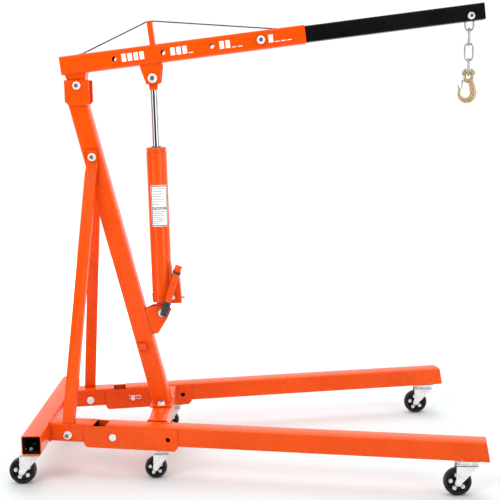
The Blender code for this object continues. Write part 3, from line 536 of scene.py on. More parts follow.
def build_structure():
    """Tubes, sleeves, braces and brackets, each from its CAD node."""
    tube_reach = TUBE / 2 * 1.30
    # Inward faces of the rear tube, legs, boom and extension get the near-black lining: painted shade for their
    # dark hollows.
    refined("rear_cross_tube", "paint", inside=bore_test(middle("rear_cross_tube"), Y_AXIS,
                                                         TUBE / 2 * 1.25))
    refined("cross_beam", "paint")
    for label, _ in SIDES:
        place = leg_frame(label)
        along = place.col[0].to_3d()
        leg_middle = place.to_translation()
        leg_middle.z = middle("leg_" + label).z
        painted_shade_faces = bore_test(leg_middle, along, tube_reach)
        for node in ("leg_stub_", "leg_"):
            refined(node + label, "paint", inside=painted_shade_faces)
        refined("leg_socket_" + label, "paint")
        refined("brace_" + label, "paint")
    refined("mast", "paint")
    boom_up = BOOM_X.cross(Y_AXIS)
    boom_middle = PIVOT + boom_up * PIVOT_BELOW
    refined("boom_tube", "paint", inside=bore_test(boom_middle, BOOM_X, BOOM / 2 * 1.25))
    refined("extension_tube", "black", inside=bore_test(boom_middle, BOOM_X, BOOM / 2 * 1.02))
    refined("ram_boom_bracket", "paint")
    refined("ram_mast_bracket", "paint")
    refined("pump_block", "paint")


# Welds

def weld_line(beads, points, radius, loop):
    """A rippled bead along straight runs between points."""
    stops = list(points) + ([points[0]] if loop else [])
    path = []
    for a, b in zip(stops, stops[1:]):
        steps = max(2, int((b - a).length / 0.0016))
        path += [a.lerp(b, k / steps) for k in range(steps)]
    if not loop:
        path.append(stops[-1])
    radii = [radius * (1 + 0.16 * math.sin(k * 1.55) + 0.07 * math.sin(k * 0.37)) for k in range(len(path))]
    if not loop:
        radii[0] *= 0.3
        radii[-1] *= 0.3
    swept(beads, path, radii, 8, loop, side=Vector((0.31, 0.77, 0.56)))


def square(place, half_x, half_y, height=0.0):
    """Corners of a rectangle in a frame's XY plane."""
    return [place @ Vector((x * half_x, y * half_y, height)) for x,
            y in ((-1, -1), (1, -1), (1, 1), (-1, 1))]


def build_welds():
    """Beads on the frame, then on the boom."""
    beads = bmesh.new()
    for label, side in SIDES:
        place = leg_frame(label)
        along = place.col[0].to_3d()
        low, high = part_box("leg_stub_" + label)
        centre_z = (low.z + high.z) / 2
        rear_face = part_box("rear_cross_tube")[1].x
        origin = place.to_translation()
        start = origin + along * ((rear_face - origin.x) / along.x)
        start.z = centre_z
        run = axes_matrix(start, Vector((0, 1, 0)), UP, Vector((1, 0, 0)))
        half = TUBE / 2 / along.x
        weld_line(beads, square(run, half, TUBE / 2), BASE_BEAD, True)
        beam_low, beam_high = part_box("cross_beam")
        beam = axes_matrix(Vector(((beam_low.x + beam_high.x) / 2, side * (beam_high.y - 0.002),
                                   (beam_low.z + beam_high.z) / 2)), Vector((1, 0, 0)), UP,
                           Vector((0, side, 0)))
        drift = side * abs(along.y / along.x) * (beam_high.x - beam_low.x) / 2
        corners = square(beam, (beam_high.x - beam_low.x) / 2, (beam_high.z - beam_low.z) / 2)
        for corner in corners:
            corner.y += drift * (1 if corner.x > middle("cross_beam").x else -1) - side * abs(drift)
        weld_line(beads, corners, BASE_BEAD, True)
    foot_z = MAST_FOOT_TOP
    lean = math.tan(MAST_LEAN)
    foot_x = middle("mast_foot_bolt_right").x
    foot = Matrix.Translation((foot_x, 0, foot_z))
    weld_line(beads, square(foot, MAST / 2 / math.cos(math.atan(lean)) + 0.0006, MAST / 2 + 0.0006),
              FOOT_BEAD, True)
    bracket_low, bracket_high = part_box("ram_mast_bracket")
    for side in (-1, 1):
        ends = []
        for z in (bracket_low.z + 0.004, bracket_high.z - 0.020):
            x = foot_x - (z - foot_z) * lean + MAST / 2 / math.cos(math.atan(lean)) + 0.001
            ends.append(Vector((x, side * 0.0285, z)))
        weld_line(beads, ends, BRACKET_BEAD, False)
        head = PIVOT + Vector((0, side * 0.0325, -0.068))
        weld_line(beads, [head + Vector((-0.018, 0, -0.0005)), head + Vector((0.030, 0, -0.0005))],
                  HEAD_BEAD, False)
    emit("frame_welds", beads, "paint", "frame", angle=80)

    beads = bmesh.new()
    under = PIVOT_BELOW - BOOM / 2
    over = PIVOT_BELOW + BOOM / 2
    for side in (-1, 1):
        weld_line(beads, [BOOM_FRAME @ Vector((-0.034, side * 0.0275, under)),
                          BOOM_FRAME @ Vector((0.034, side * 0.0275, under))], BRACKET_BEAD, False)
        head = BOOM_FRAME.inverted() @ middle("ram_head_bolt")
        weld_line(beads, [BOOM_FRAME @ Vector((head.x - 0.035, side * 0.0265, under - 0.0008)),
                          BOOM_FRAME @ Vector((head.x + 0.035, side * 0.0265, under - 0.0008))], HEAD_BEAD,
                  False)
    post = BOOM_FRAME @ Matrix.Translation((TRUSS_POST - PIVOT_ALONG, 0, over))
    weld_line(beads, square(post, 0.0090, 0.0205), HEAD_BEAD, True)
    emit("boom_welds", beads, "paint", "boom", angle=80)


# Bolts and pins

def bolt_piece(name, node, centre, direction, size, low, high, head_at_high=True, far_end=True):
    """Hex bolt from low to high along direction: washers, nut with thread, and head."""
    place = facing(centre, direction)
    body = body_of(node)
    flats = size * 1.65
    head = size * 1.25
    thickness = WASHER
    metal = bmesh.new()
    washer(metal, size * 2.0, high, high + thickness, size * 0.9)
    hex_block(metal, flats, high + thickness, high + thickness + head)
    turned([(0, low + 0.0004), (size, low + 0.0004), (size, high + 0.0004), (0, high + 0.0004)], 32, metal)
    if far_end:
        washer(metal, size * 2.0, low - thickness, low, size * 0.9)
        hex_block(metal, flats, low - thickness - head, low - thickness)
    emit(name, metal, "zinc", body, place, (node,), angle=30)
    tip = bmesh.new()
    if head_at_high:
        base = high + thickness + head
        turned([(0, base - 0.0005), (flats * 0.62, base - 0.0005), (flats * 0.62, base + 0.0002),
                (flats * 0.52, base + 0.0007), (0, base + 0.0007)], 32, tip)
    else:
        base = high + thickness + head - 0.001
        turned(threads(size * 0.98, base, base + 0.0042), 32, tip)
    emit(name + "_end", tip, "thread", body, place, angle=30)


def build_bolts():
    """Every bolt that shows a head or a nut."""
    toward = Vector((0, -1, 0))
    bolt_piece("boom_pivot_nut_and_bolt", "boom_pivot_bolt", PIVOT, toward, 0.007, -0.0378, 0.0378, False)
    brace = middle("brace_top_bolt")
    brace.y = 0
    bolt_piece("brace_top_nut_and_bolt", "brace_top_bolt", brace, toward, 0.007, -0.0382, 0.0382, False)
    bolt_piece("hook_nut_and_bolt", "hook_bolt", HOOK_BOLT, toward, 0.006, -0.0279, 0.0279, False)
    for label, side in SIDES:
        place = leg_frame(label)
        outward = place.col[1].to_3d() * (side if place.col[1].y > 0 else -side)
        centre = middle("brace_foot_bolt_" + label)
        reach = TUBE / 2 + 0.0004
        root = leg_line_point(label, centre)
        bolt_piece("brace_foot_nut_and_bolt_" + label, "brace_foot_bolt_" + label, root, outward, 0.007,
                   -reach, reach, False)
        foot = middle("mast_foot_bolt_" + label)
        foot_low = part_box("mast_foot_bolt_" + label)[0].z
        foot.z = foot_low
        bolt_piece("mast_foot_screw_" + label, "mast_foot_bolt_" + label, foot, UP, 0.007, 0.0, 0.0060,
                   False, False)
    near_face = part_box("ram_head_bolt")[1].y
    centre = middle("ram_head_bolt")
    bolt_piece("ram_head_nut", "ram_head_bolt", (centre.x, near_face, centre.z), toward, 0.008, 0.0,
               0.0054, False, False)
    near_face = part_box("extension_lock_bolt")[1].y
    centre = middle("extension_lock_bolt")
    bolt_piece("extension_lock_nut", "extension_lock_bolt", (centre.x, near_face, centre.z), toward, 0.007,
               0.0, 0.0033, False, False)


def leg_line_point(label, near):
    """Point on a leg's middle line at the same station as near, at its height."""
    place = leg_frame(label)
    local = place.inverted() @ near
    local.y = 0
    return place @ local


def build_leg_pins():
    """Fold pins with their hitch clips and bushes."""
    for label, side in SIDES:
        node = "leg_pin_" + label
        place = leg_frame(label)
        outward = place.col[1].to_3d() * (side if place.col[1].y > 0 else -side)
        turn = facing(place.to_translation(), outward)
        half = FOLD_PIN_HALF
        profile = [(0, -half - 0.011), (0.0062, -half - 0.011), (0.0079, -half - 0.009), (0.0079, half),
                   (0.0118, half), (0.0122, half + 0.0008), (0.0122, half + 0.0035),
                   (0.0108, half + 0.0050), (0.0070, half + 0.0056), (0, half + 0.0058)]
        spun("fold_pin_" + label, "zinc", "frame", turn, profile, 48, (node,))
        height = -half - 0.006
        points = [(-0.014, 0.0), (0.0, 0.0), (0.014, 0.0)]
        points += arc(0.022, 0.004, 0.0068, 215, 505, 12)
        points += [(0.009, 0.0100), (0.0, 0.0118), (-0.008, 0.0098), (-0.015, 0.0125)]
        local_along = turn.to_3x3().inverted() @ place.col[0].to_3d()
        local_up = turn.to_3x3().inverted() @ UP
        path = [Vector((0, 0, height)) + local_along * a + local_up * b for a, b in points]
        clip = bmesh.new()
        swept(clip, smooth_path(path, 5), 0.0014, 10, side=Vector((0, 0, 1)))
        emit("fold_pin_clip_" + label, clip, "zinc", "frame", turn, angle=60)
        rings = bmesh.new()
        turned([(0.0088, half - 0.0003), (0.0150, half - 0.0003), (0.0150, half + 0.0004),
                (0.0088, half + 0.0004)], 48, rings)
        emit("fold_pin_bush_" + label, rings, "paint", "frame", turn, angle=30)


# Ram and pump

def build_ram():
    """Cylinder, collar, rod with its eye, and the lower pin."""
    top = RAM_TOP
    collar = RAM_COLLAR
    profile = [(0.0004, collar), (0.0345, collar), (RAM_RADIUS + 0.0010, collar + 0.0015),
               (RAM_RADIUS + 0.0010, collar + 0.0235), (RAM_RADIUS + 0.0004, collar + 0.0250),
               (RAM_RADIUS, collar + 0.0270), (RAM_RADIUS, top - 0.0010), (RAM_RADIUS - 0.0010, top),
               (0.028, top), (0.028, 0.050), (0.0004, 0.050)]
    spun("ram_cylinder", "paint", "ram", RAM_FRAME, profile, 96, ("ram_body",), angle=28)
    lug = bmesh.new()
    outline = arc(0, 0, 0.020, 180, 360, 24) + [(0.020, collar + 0.004), (-0.020, collar + 0.004)]
    plate(lug, outline, -0.022, 0.022)
    emit("ram_foot_lug", lug, "paint", "ram", RAM_FRAME, bevel=0.0012)
    ring = bmesh.new()
    beads = []
    count = 150
    for k in range(count):
        angle = 2 * math.pi * k / count
        beads.append(Vector((0.0352 * math.cos(angle), 0.0352 * math.sin(angle), collar + 0.0262)))
    radii = [0.0022 * (1 + 0.15 * math.sin(k * 1.4)) for k in range(count)]
    swept(ring, beads, radii, 8, True, side=UP)
    emit("ram_collar_weld", ring, "paint", "ram", RAM_FRAME, angle=80)
    collar_top = bmesh.new()
    bore = ROD_RADIUS + 0.0005
    low = top + 0.0003
    turned([(bore, low - 0.016), (0.0277, low - 0.016), (0.0277, low), (0.0338, low),
            (0.0342, low + 0.0006),
            (0.0342, low + 0.0042), (0.0334, low + 0.0050), (0.0334, low + 0.0062), (0.0342, low + 0.0070),
            (0.0342, low + 0.0135), (0.0315, low + 0.0168), (0.0160, low + 0.0170), (bore, low + 0.0160)],
           96, collar_top)
    emit("ram_end_collar", collar_top, "paint", "ram", RAM_FRAME, ("ram_gland",), angle=28)
    profile = [(ROD_RADIUS + 0.0002, low + 0.0160), (0.0172, low + 0.0160), (0.0172, low + 0.0186),
               (0.0150, low + 0.0196), (ROD_RADIUS + 0.0002, low + 0.0190)]
    spun("rod_wiper", "rubber", "ram", RAM_FRAME, profile, 64)
    head = RAM_FRAME.inverted() @ Vector((middle("ram_head_bolt").x, 0, middle("ram_head_bolt").z))
    profile = [(0, 0.2823), (0.0120, 0.2823), (ROD_RADIUS, 0.2833), (ROD_RADIUS, head.z - 0.0300),
               (0, head.z - 0.0300)]
    spun("ram_chrome_rod", "chrome", "ram_rod", RAM_FRAME, profile, 64, ("piston_rod",), angle=28)
    eye = bmesh.new()
    outer = arc(0, head.z, 0.019, -40, 220, 28) + [(-0.0145, head.z - 0.0245), (-0.013, head.z - 0.0400),
                                                   (0.013, head.z - 0.0400), (0.0145, head.z - 0.0245)]
    plate(eye, outer, -0.014, 0.014)
    emit("ram_rod_eye", eye, "paint", "ram_rod", RAM_FRAME, bevel=0.0012)
    pin = bmesh.new()
    half = 0.0283
    turned([(0, -half - 0.008), (0.0085, -half - 0.008), (0.0099, -half - 0.0065), (0.0099, half),
            (0.0136, half),
            (0.0140, half + 0.0006), (0.0140, half + 0.0038), (0.0125, half + 0.0052), (0, half + 0.0056)],
           48, pin)
    emit("ram_foot_clevis_pin", pin, "zinc", "ram_pin", facing(RAM_FOOT, (0, -1, 0)), ("ram_foot_pin",),
         angle=30)
    build_ram_label()


def curved_patch(name, look, radius, thickness, angles, heights, corner=0.0):
    """Thin sticker that follows the cylinder between two angles and two heights."""
    across = 24
    up = 12
    start, end = angles
    low, high = heights
    bm = bmesh.new()

    def point(u, v, r):
        angle = start + (end - start) * u
        height = low + (high - low) * v
        return Vector((r * math.cos(angle), r * math.sin(angle), height))

    def inset(v):
        edge = min(v, 1 - v) * (high - low)
        if edge >= corner or corner == 0:
            return 0.0
        return (corner - math.sqrt(max(corner ** 2 - (corner - edge) ** 2, 0))) / ((end - start) * radius)
    rows = sorted({0.0, 1.0} | {k / up for k in range(up + 1)}
                  | {min(corner * s / (high - low), 0.5) for s in (0.1, 0.3, 0.6, 1.0)}
                  | {1 - min(corner * s / (high - low), 0.5) for s in (0.1, 0.3, 0.6, 1.0)})
    sheets = []
    for r in (radius, radius + thickness):
        sheet = []
        for v in rows:
            shrink = inset(v)
            sheet.append([bm.verts.new(point(shrink + (1 - 2 * shrink) * k / across, v, r))
                          for k in range(across + 1)])
        sheets.append(sheet)
    lower, upper = sheets
    for sheet in sheets:
        for a, b in zip(sheet, sheet[1:]):
            for k in range(across):
                bm.faces.new((a[k], a[k + 1], b[k + 1], b[k]))
    for a, b in zip(range(len(rows) - 1), range(1, len(rows))):
        bm.faces.new((lower[a][0], lower[b][0], upper[b][0], upper[a][0]))
        bm.faces.new((lower[a][-1], upper[a][-1], upper[b][-1], lower[b][-1]))
    for row in (0, -1):
        for k in range(across):
            bm.faces.new((lower[row][k], upper[row][k], upper[row][k + 1], lower[row][k + 1]))
    return emit(name, bm, look, "ram", RAM_FRAME, angle=40)


LABEL_LOW = 0.3075
LABEL_SPLIT = 0.371
LABEL_HIGH = 0.4515


def build_ram_label():
    """Plain two-part sticker with rules and blocks instead of any lettering."""
    middle_angle = math.radians(-78)
    wide = math.radians(52)
    base = RAM_RADIUS + 0.0001
    span = (middle_angle - wide, middle_angle + wide)
    curved_patch("ram_sticker", "white", base, 0.0002, span, (LABEL_LOW, LABEL_HIGH), 0.004)
    frame_width = math.radians(4.6)
    inner = (span[0] + math.radians(3.0), span[1] - math.radians(3.0))
    ink = base + 0.0002
    line = 0.0028
    for index, (low, high) in enumerate(((LABEL_LOW + 0.002, LABEL_SPLIT - 0.001),
                                         (LABEL_SPLIT + 0.001, LABEL_HIGH - 0.002))):
        for k, band in enumerate(((low, low + line), (high - line, high))):
            curved_patch(f"ram_sticker_rule_{index}{k}", "ink", ink, 0.0001, inner, band)
        for k, edge in enumerate((inner[0], inner[1] - frame_width)):
            curved_patch(f"ram_sticker_side_{index}{k}", "ink", ink, 0.0001, (edge, edge + frame_width),
                         (low, high))
        rows = 7
        for k in range(rows):
            height = high - 0.0085 - k * (high - low - 0.014) / rows
            length = (0.86, 0.74, 0.80, 0.66, 0.82, 0.70, 0.45)[k]
            left = inner[0] + math.radians(9)
            right = left + (inner[1] - inner[0] - math.radians(18)) * length
            curved_patch(f"ram_sticker_bar_{index}{k}", "grey_ink", ink, 0.0001, (left, right),
                         (height - 0.0034, height))


def build_pump():
    """Lever socket, plunger, valve and plugs on the pump block."""
    lever = joint_place("lever_pump")
    tilt = LEVER_TILT
    origin = Vector((lever.x - 0.016, LEVER_Y, lever.z - 0.014))
    along = Vector((math.sin(tilt), 0, math.cos(tilt)))
    place = axes_matrix(origin, Y_AXIS.cross(along), Y_AXIS, along)
    outer = 0.0120
    bore = 0.0095
    profile = [(bore, 0.000), (outer, 0.000), (outer, 0.121), (outer + 0.0006, 0.123),
               (outer + 0.0006, 0.1325), (outer - 0.0002, 0.134), (bore + 0.0004, 0.134), (bore, 0.133)]
    spun("lever_socket", "paint", "pump_lever", place, profile, 64, ("pump_lever",))
    lower = bmesh.new()
    turned([(bore - 0.0005, -0.052), (outer - 0.0005, -0.052), (outer + 0.0006, -0.0505),
            (outer + 0.0012, -0.030),
            (outer + 0.0012, -0.006), (outer + 0.0004, -0.001), (outer - 0.0004, 0.003),
            (bore - 0.0005, 0.003)], 64, lower)
    emit("lever_lower_sleeve", lower, "grip", "pump_lever", place, angle=30)
    profile = [(outer + 0.0001, 0.106), (outer + 0.0022, 0.106), (outer + 0.0030, 0.1075),
               (outer + 0.0030, 0.1115), (outer + 0.0022, 0.113), (outer + 0.0001, 0.113)]
    spun("lever_band", "grip", "pump_lever", place, profile, 64)
    local = place.inverted() @ Vector((lever.x, LEVER_Y, lever.z))
    lug = bmesh.new()
    outline = arc(local.x, local.z, 0.0105, -90, 90, 20) + [(0.0035, local.z + 0.0085),
                                                            (0.0035, local.z - 0.0085)]
    plate(lug, outline, 0.0100, 0.0225)
    emit("lever_lug", lug, "paint", "pump_lever", place, bevel=0.0008)
    cap = bmesh.new()
    washer(cap, 0.0092, 0.0007, 0.0022, 0.0010)
    turned([(0, 0.0020), (0.0050, 0.0020), (0.0050, 0.0034), (0.0038, 0.0046), (0, 0.0048)], 32, cap)
    face = Vector((lever.x, -0.0398, lever.z))
    emit("lever_stud_end", cap, "zinc", "ram", facing(face, (0, -1, 0)), angle=30)
    plunger_low, plunger_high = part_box("pump_plunger")
    centre = middle("pump_plunger")
    profile = [(0, plunger_low.z), (0.0055, plunger_low.z), (0.0060, plunger_low.z + 0.0006),
               (0.0060, plunger_high.z - 0.006), (0.0086, plunger_high.z - 0.006),
               (0.0090, plunger_high.z - 0.0052), (0.0090, plunger_high.z - 0.0012),
               (0.0078, plunger_high.z), (0, plunger_high.z)]
    spun("pump_chrome_plunger", "chrome", "pump_plunger", Matrix.Translation((centre.x, centre.y, 0)),
         profile, 48, ("pump_plunger",))
    valve_low, valve_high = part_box("release_valve")
    valve = middle("release_valve")
    screw = bmesh.new()
    turned([(0, 0), (0.0048, 0), (0.0050, 0.0005), (0.0050, 0.0162), (0, 0.0162)], 32, screw)
    hex_block(screw, 0.0074, 0.0160, valve_high.x - valve_low.x)
    emit("release_valve_screw", screw, "zinc", "release_valve",
         facing((valve_low.x, valve.y, valve.z), (1, 0, 0)), ("release_valve",), angle=30)
    block_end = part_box("pump_block")[1].x
    collar = bmesh.new()
    washer(collar, 0.0105, 0.0002, 0.0030, 0.0068)
    emit("plunger_gland_nut", collar, "zinc", "ram",
         Matrix.Translation((centre.x, centre.y, lever.z + 0.086)), angle=30)
    for k, (up, size) in enumerate(((0.050, 0.0050), (0.078, 0.0038))):
        plug = bmesh.new()
        hex_block(plug, size, 0.0, 0.0030)
        turned([(0, 0.0028), (size * 0.8, 0.0028), (size * 0.8, 0.0036), (size * 0.5, 0.0042), (0, 0.0042)],
               32, plug)
        origin = Vector((block_end - 0.030, -0.0240, lever.z + up))
        emit(f"pump_plug_{k}", plug, "thread", "ram", facing(origin, (0, -1, 0)), angle=30)


# Boom marks and truss rod

def build_boom_marks():
    """Load steps as rows of filled and open blocks, painted beside each hole on both faces."""
    height = 0.026
    width = 0.0150
    gap = 0.0055
    line = 0.0026
    for k in range(4):
        start = PIN_HOLE_FIRST + k * PIN_HOLE_PITCH - PIVOT_ALONG + 0.026
        for label, side in SIDES:
            bm = bmesh.new()
            face = side * (BOOM / 2)
            low, high = sorted((face + side * 0.00005, face + side * 0.00035))
            for block in range(4):
                left = start + block * (width + gap)
                z0 = PIVOT_BELOW - height / 2
                z1 = PIVOT_BELOW + height / 2
                if block < 4 - k:
                    plate(bm, [(left, z0), (left + width, z0), (left + width, z1), (left, z1)], low, high)
                else:
                    plate(bm, [(left, z0), (left + width, z0), (left + width, z0 + line),
                               (left, z0 + line)], low, high)
            emit(f"boom_step_marks_{label}_{k}", bm, "white", "boom", BOOM_FRAME, angle=30)


def build_truss():
    """The bent bar over the boom and the cap of its post."""
    over = PIVOT_BELOW + BOOM / 2
    radius = 0.0022
    peak = over + TRUSS_RISE + radius
    post = TRUSS_POST - PIVOT_ALONG
    stations = [(0.066 - PIVOT_ALONG, over + radius * 0.6), (0.078 - PIVOT_ALONG, over + radius),
                (post - 0.020, peak - 0.0034), (post - 0.012, peak), (post, peak + 0.0003),
                (post + 0.012, peak), (post + 0.020, peak - 0.0018), (0.732 - PIVOT_ALONG, over + radius),
                (0.745 - PIVOT_ALONG, over + radius * 0.6)]
    rod = bmesh.new()
    swept(rod, [Vector((x, 0, z)) for x, z in stations], radius, 20)
    emit("truss_bar", rod, "steel", "boom", BOOM_FRAME, ("truss_rod",), angle=60)
    cap = bmesh.new()
    rounded_box(cap, (0.022, 0.043, 0.0022), (post, 0, over + TRUSS_RISE + 0.0001))
    emit("truss_post_cap", cap, "paint", "boom", BOOM_FRAME, bevel=0.0007)
    ends = bmesh.new()
    for x in (0.072 - PIVOT_ALONG, 0.738 - PIVOT_ALONG):
        for side in (-1, 1):
            points = [BOOM_FRAME @ Vector((x - 0.009, side * 0.0030, over + 0.0006)),
                      BOOM_FRAME @ Vector((x + 0.009, side * 0.0030, over + 0.0006))]
            weld_line(ends, points, 0.0019, False)
    emit("truss_end_welds", ends, "paint", "boom", angle=80)


# Chain and hook

def build_chain():
    """Four round-wire links, each with a thicker weld on one side."""
    wire = CHAIN_WIRE
    radius = CHAIN_RADIUS
    for index in range(4):
        node = f"chain_link_{index + 1}"
        low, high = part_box(node)
        centre = (low + high) / 2
        half = (high.z - low.z) / 2 - wire - radius
        across = joint_axis("link_3_swing") if index % 2 else Vector((1, 0, 0))
        path = []
        for a, b in arc(0, half, radius, 0, 180, 16) + arc(0, -half, radius, 180, 360, 16):
            path.append(across * a + UP * b)
        straight = [across * radius + UP * (-half + 2 * half * k / 8) for k in range(1, 8)]
        left = [across * -radius + UP * (half - 2 * half * k / 8) for k in range(1, 8)]
        path = path[:17] + left + path[17:] + straight
        radii = []
        for point in path:
            on_weld = point.dot(across) > radius * 0.9 and abs(point.z) < 0.0035
            radii.append(wire * (1.10 if on_weld else 1.0))
        bm = bmesh.new()
        swept(bm, path, radii, 16, True, side=across.cross(UP))
        emit(node + "_round", bm, "chain", f"link_{index + 1}", Matrix.Translation(centre), (node,),
             angle=60)


def build_hook():
    """Forged hook with its ears, clevis pin and sprung latch."""
    place = Matrix.Translation(HOOK_PIN)
    bend = 0.0245
    centre = Vector((-0.0066, 0, -0.0682))
    path = [Vector((0.0010, 0, -0.020)), Vector((0.0050, 0, -0.026)), Vector((0.0105, 0, -0.036)),
            Vector((0.0142, 0, -0.046))]
    steps = 40
    for k in range(steps + 1):
        angle = math.radians(30 + (-205 - 30) * k / steps)
        path.append(centre + Vector((bend * math.cos(angle), 0, bend * math.sin(angle))))
    path += [Vector((-0.0318, 0, -0.0500)), Vector((-0.0345, 0, -0.0440)), Vector((-0.0362, 0, -0.0400))]
    total = len(path) - 1
    radii = []
    for k in range(total + 1):
        share = k / total
        radii.append(0.0092 + 0.0032 * math.sin(math.pi * min(share * 1.25, 1.0)) - 0.0058 * share ** 1.6)
    radii[-1] = 0.0010
    radii[-2] = 0.0022
    radii[-3] = 0.0030
    body = bmesh.new()
    swept(body, path, radii, 24)
    emit("hook_forging", body, "gold", "hook", place, ("hook",), angle=60)
    for side in (-1, 1):
        ear = bmesh.new()
        rings = []
        for y, grow in ((-0.0095, -0.0016), (-0.0086, 0.0), (0.0086, 0.0), (0.0095, -0.0016)):
            ring = []
            outline = [(0.0085, -0.030), (0.0130, -0.027), (0.0156, -0.020), (0.0158, 0.000),
                       (0.0156, 0.008),
                       (0.0140, 0.0130), (0.0112, 0.0145), (0.0090, 0.0130), (0.0085, 0.008)]
            middle_point = Vector((0.012, 0, -0.008))
            for x, z in outline:
                point = Vector((x, y, z))
                point.x += (point.x - middle_point.x) * grow * 60
                point.z += (point.z - middle_point.z) * grow * 30
                point.x *= side
                ring.append(point)
            rings.append(ring)
        close_skin(ear, rings)
        emit(f"hook_ear_{'front' if side > 0 else 'rear'}", ear, "gold", "hook", place, bevel=0.0006,
             angle=50)
    bridge = bmesh.new()
    swept(bridge, smooth_path([Vector((-0.0120, 0, -0.0225)), Vector((-0.006, 0, -0.0275)),
                               Vector((0.000, 0, -0.0285)),
                               Vector((0.006, 0, -0.0275)), Vector((0.0120, 0, -0.0225))], 6),
          0.0066, 20, flatten=1.2)
    emit("hook_crotch", bridge, "gold", "hook", place, angle=60)
    profile = [(0, -0.0225), (0.0046, -0.0225), (0.0074, -0.0212), (0.0078, -0.0190), (0.0074, -0.0166),
               (0.0050, -0.0160), (0.0050, 0.0160), (0.0066, 0.0166), (0.0070, 0.0190),
               (0.0064, 0.0212), (0.0040, 0.0222), (0, 0.0222)]
    spun("hook_clevis_pin", "gold", "hook", facing(HOOK_PIN, (1, 0, 0)), profile, 40, angle=40)
    latch = joint_place("latch_open")
    strip = bmesh.new()
    for y in (-0.0048, 0.0048):
        plate(strip, [(0.0028, 0.0010), (0.0012, 0.0030), (-0.0012, 0.0030), (-0.0030, 0.0006),
                      (-0.0032, -0.0240),
                      (-0.0022, -0.0240), (0.0004, -0.0090), (0.0028, -0.0040)], y - 0.0005, y + 0.0005)
    plate(strip, [(-0.0024, 0.0014), (-0.0034, 0.0006), (-0.0037, -0.0262), (-0.0026, -0.0296),
                  (-0.0016, -0.0292), (-0.0026, -0.0256)], -0.0052, 0.0052)
    emit("hook_latch_strip", strip, "latch", "latch", Matrix.Translation(latch), ("hook_latch",),
         bevel=0.0002)
    profile = [(0, -0.0068), (0.0020, -0.0068), (0.0026, -0.0058), (0.0016, -0.0052), (0.0016, 0.0052),
               (0.0026, 0.0058), (0.0020, 0.0068), (0, 0.0068)]
    spun("hook_latch_rivet", "zinc", "hook", facing(latch, (0, 1, 0)), profile, 24, angle=40)


# Casters

def rounded_outline(half_x, half_y, radius, steps=6):
    points = []
    for cx, cy, start in ((1, -1, -90), (1, 1, 0), (-1, 1, 90), (-1, -1, 180)):
        points += arc(cx * (half_x - radius), cy * (half_y - radius), radius, start, start + 90, steps)
    return points


def build_caster(end, label):
    key = f"{end}_{label}"
    swivel = joint_place(key + "_swivel_turn")
    axle = joint_place(key + "_wheel_roll")
    place = Matrix.Translation(swivel)
    radius = axle.z
    scale = radius / END_WHEEL
    plate_low, plate_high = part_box("caster_plate_" + key)
    fixed = body_of("caster_plate_" + key)
    top = plate_high.z - swivel.z
    base = plate_low.z - swivel.z
    thickness = 0.004
    bm = bmesh.new()
    outline = rounded_outline(0.036, 0.030, 0.005)
    close_skin(bm, [[Vector((x, y, z)) for x, y in outline] for z in (top - thickness, top)])
    emit("caster_top_plate_" + key, bm, "zinc", fixed, place, ("caster_plate_" + key,),
         bevel=0.0007)
    profile = [(0.004, top - thickness + 0.0006), (0.0215 * scale, top - thickness + 0.0006),
               (0.0245 * scale, top - thickness - 0.0012),
               (0.0245 * scale, top - thickness - 0.0034 * scale),
               (0.0228 * scale, top - thickness - 0.0052 * scale), (0.0228 * scale, base + 0.0010),
               (0.0200 * scale, base), (0.004, base)]
    spun("caster_race_" + key, "zinc", fixed, place, profile, 48)
    screws = bmesh.new()
    tube_like = end != "mid"
    for x in (-0.020, 0.004) if end == "rear" else (-0.022, 0.022):
        for y in (-0.022, 0.022):
            spot = bmesh.new()
            hex_block(spot, 0.0062, top - thickness - 0.0046, top - thickness)
            bmesh.ops.translate(spot, verts=spot.verts, vec=(x, y, 0))
            merge(screws, spot)
            if tube_like:
                spot = bmesh.new()
                hex_block(spot, 0.0065, top + 0.0032, top + 0.0032 + 0.0058)
                turned([(0, top + 0.0088), (0.0038, top + 0.0088), (0.0038, top + 0.0115),
                        (0.0030, top + 0.0122), (0, top + 0.0122)], 24, spot)
                bmesh.ops.translate(spot, verts=spot.verts, vec=(x, y, 0))
                merge(screws, spot)
    emit("caster_screws_" + key, screws, "zinc", fixed, place, angle=30)
    build_fork(key, swivel, axle, scale, base)
    build_wheel(key, axle, radius, scale)


def merge(target, source):
    mesh = bpy.data.meshes.new("part")
    source.to_mesh(mesh)
    source.free()
    target.from_mesh(mesh)
    bpy.data.meshes.remove(mesh)


def wheel_width(scale):
    """The middle casters are smaller than those at the ends."""
    return END_WHEEL_WIDTH if scale > 0.9 else MID_WHEEL_WIDTH


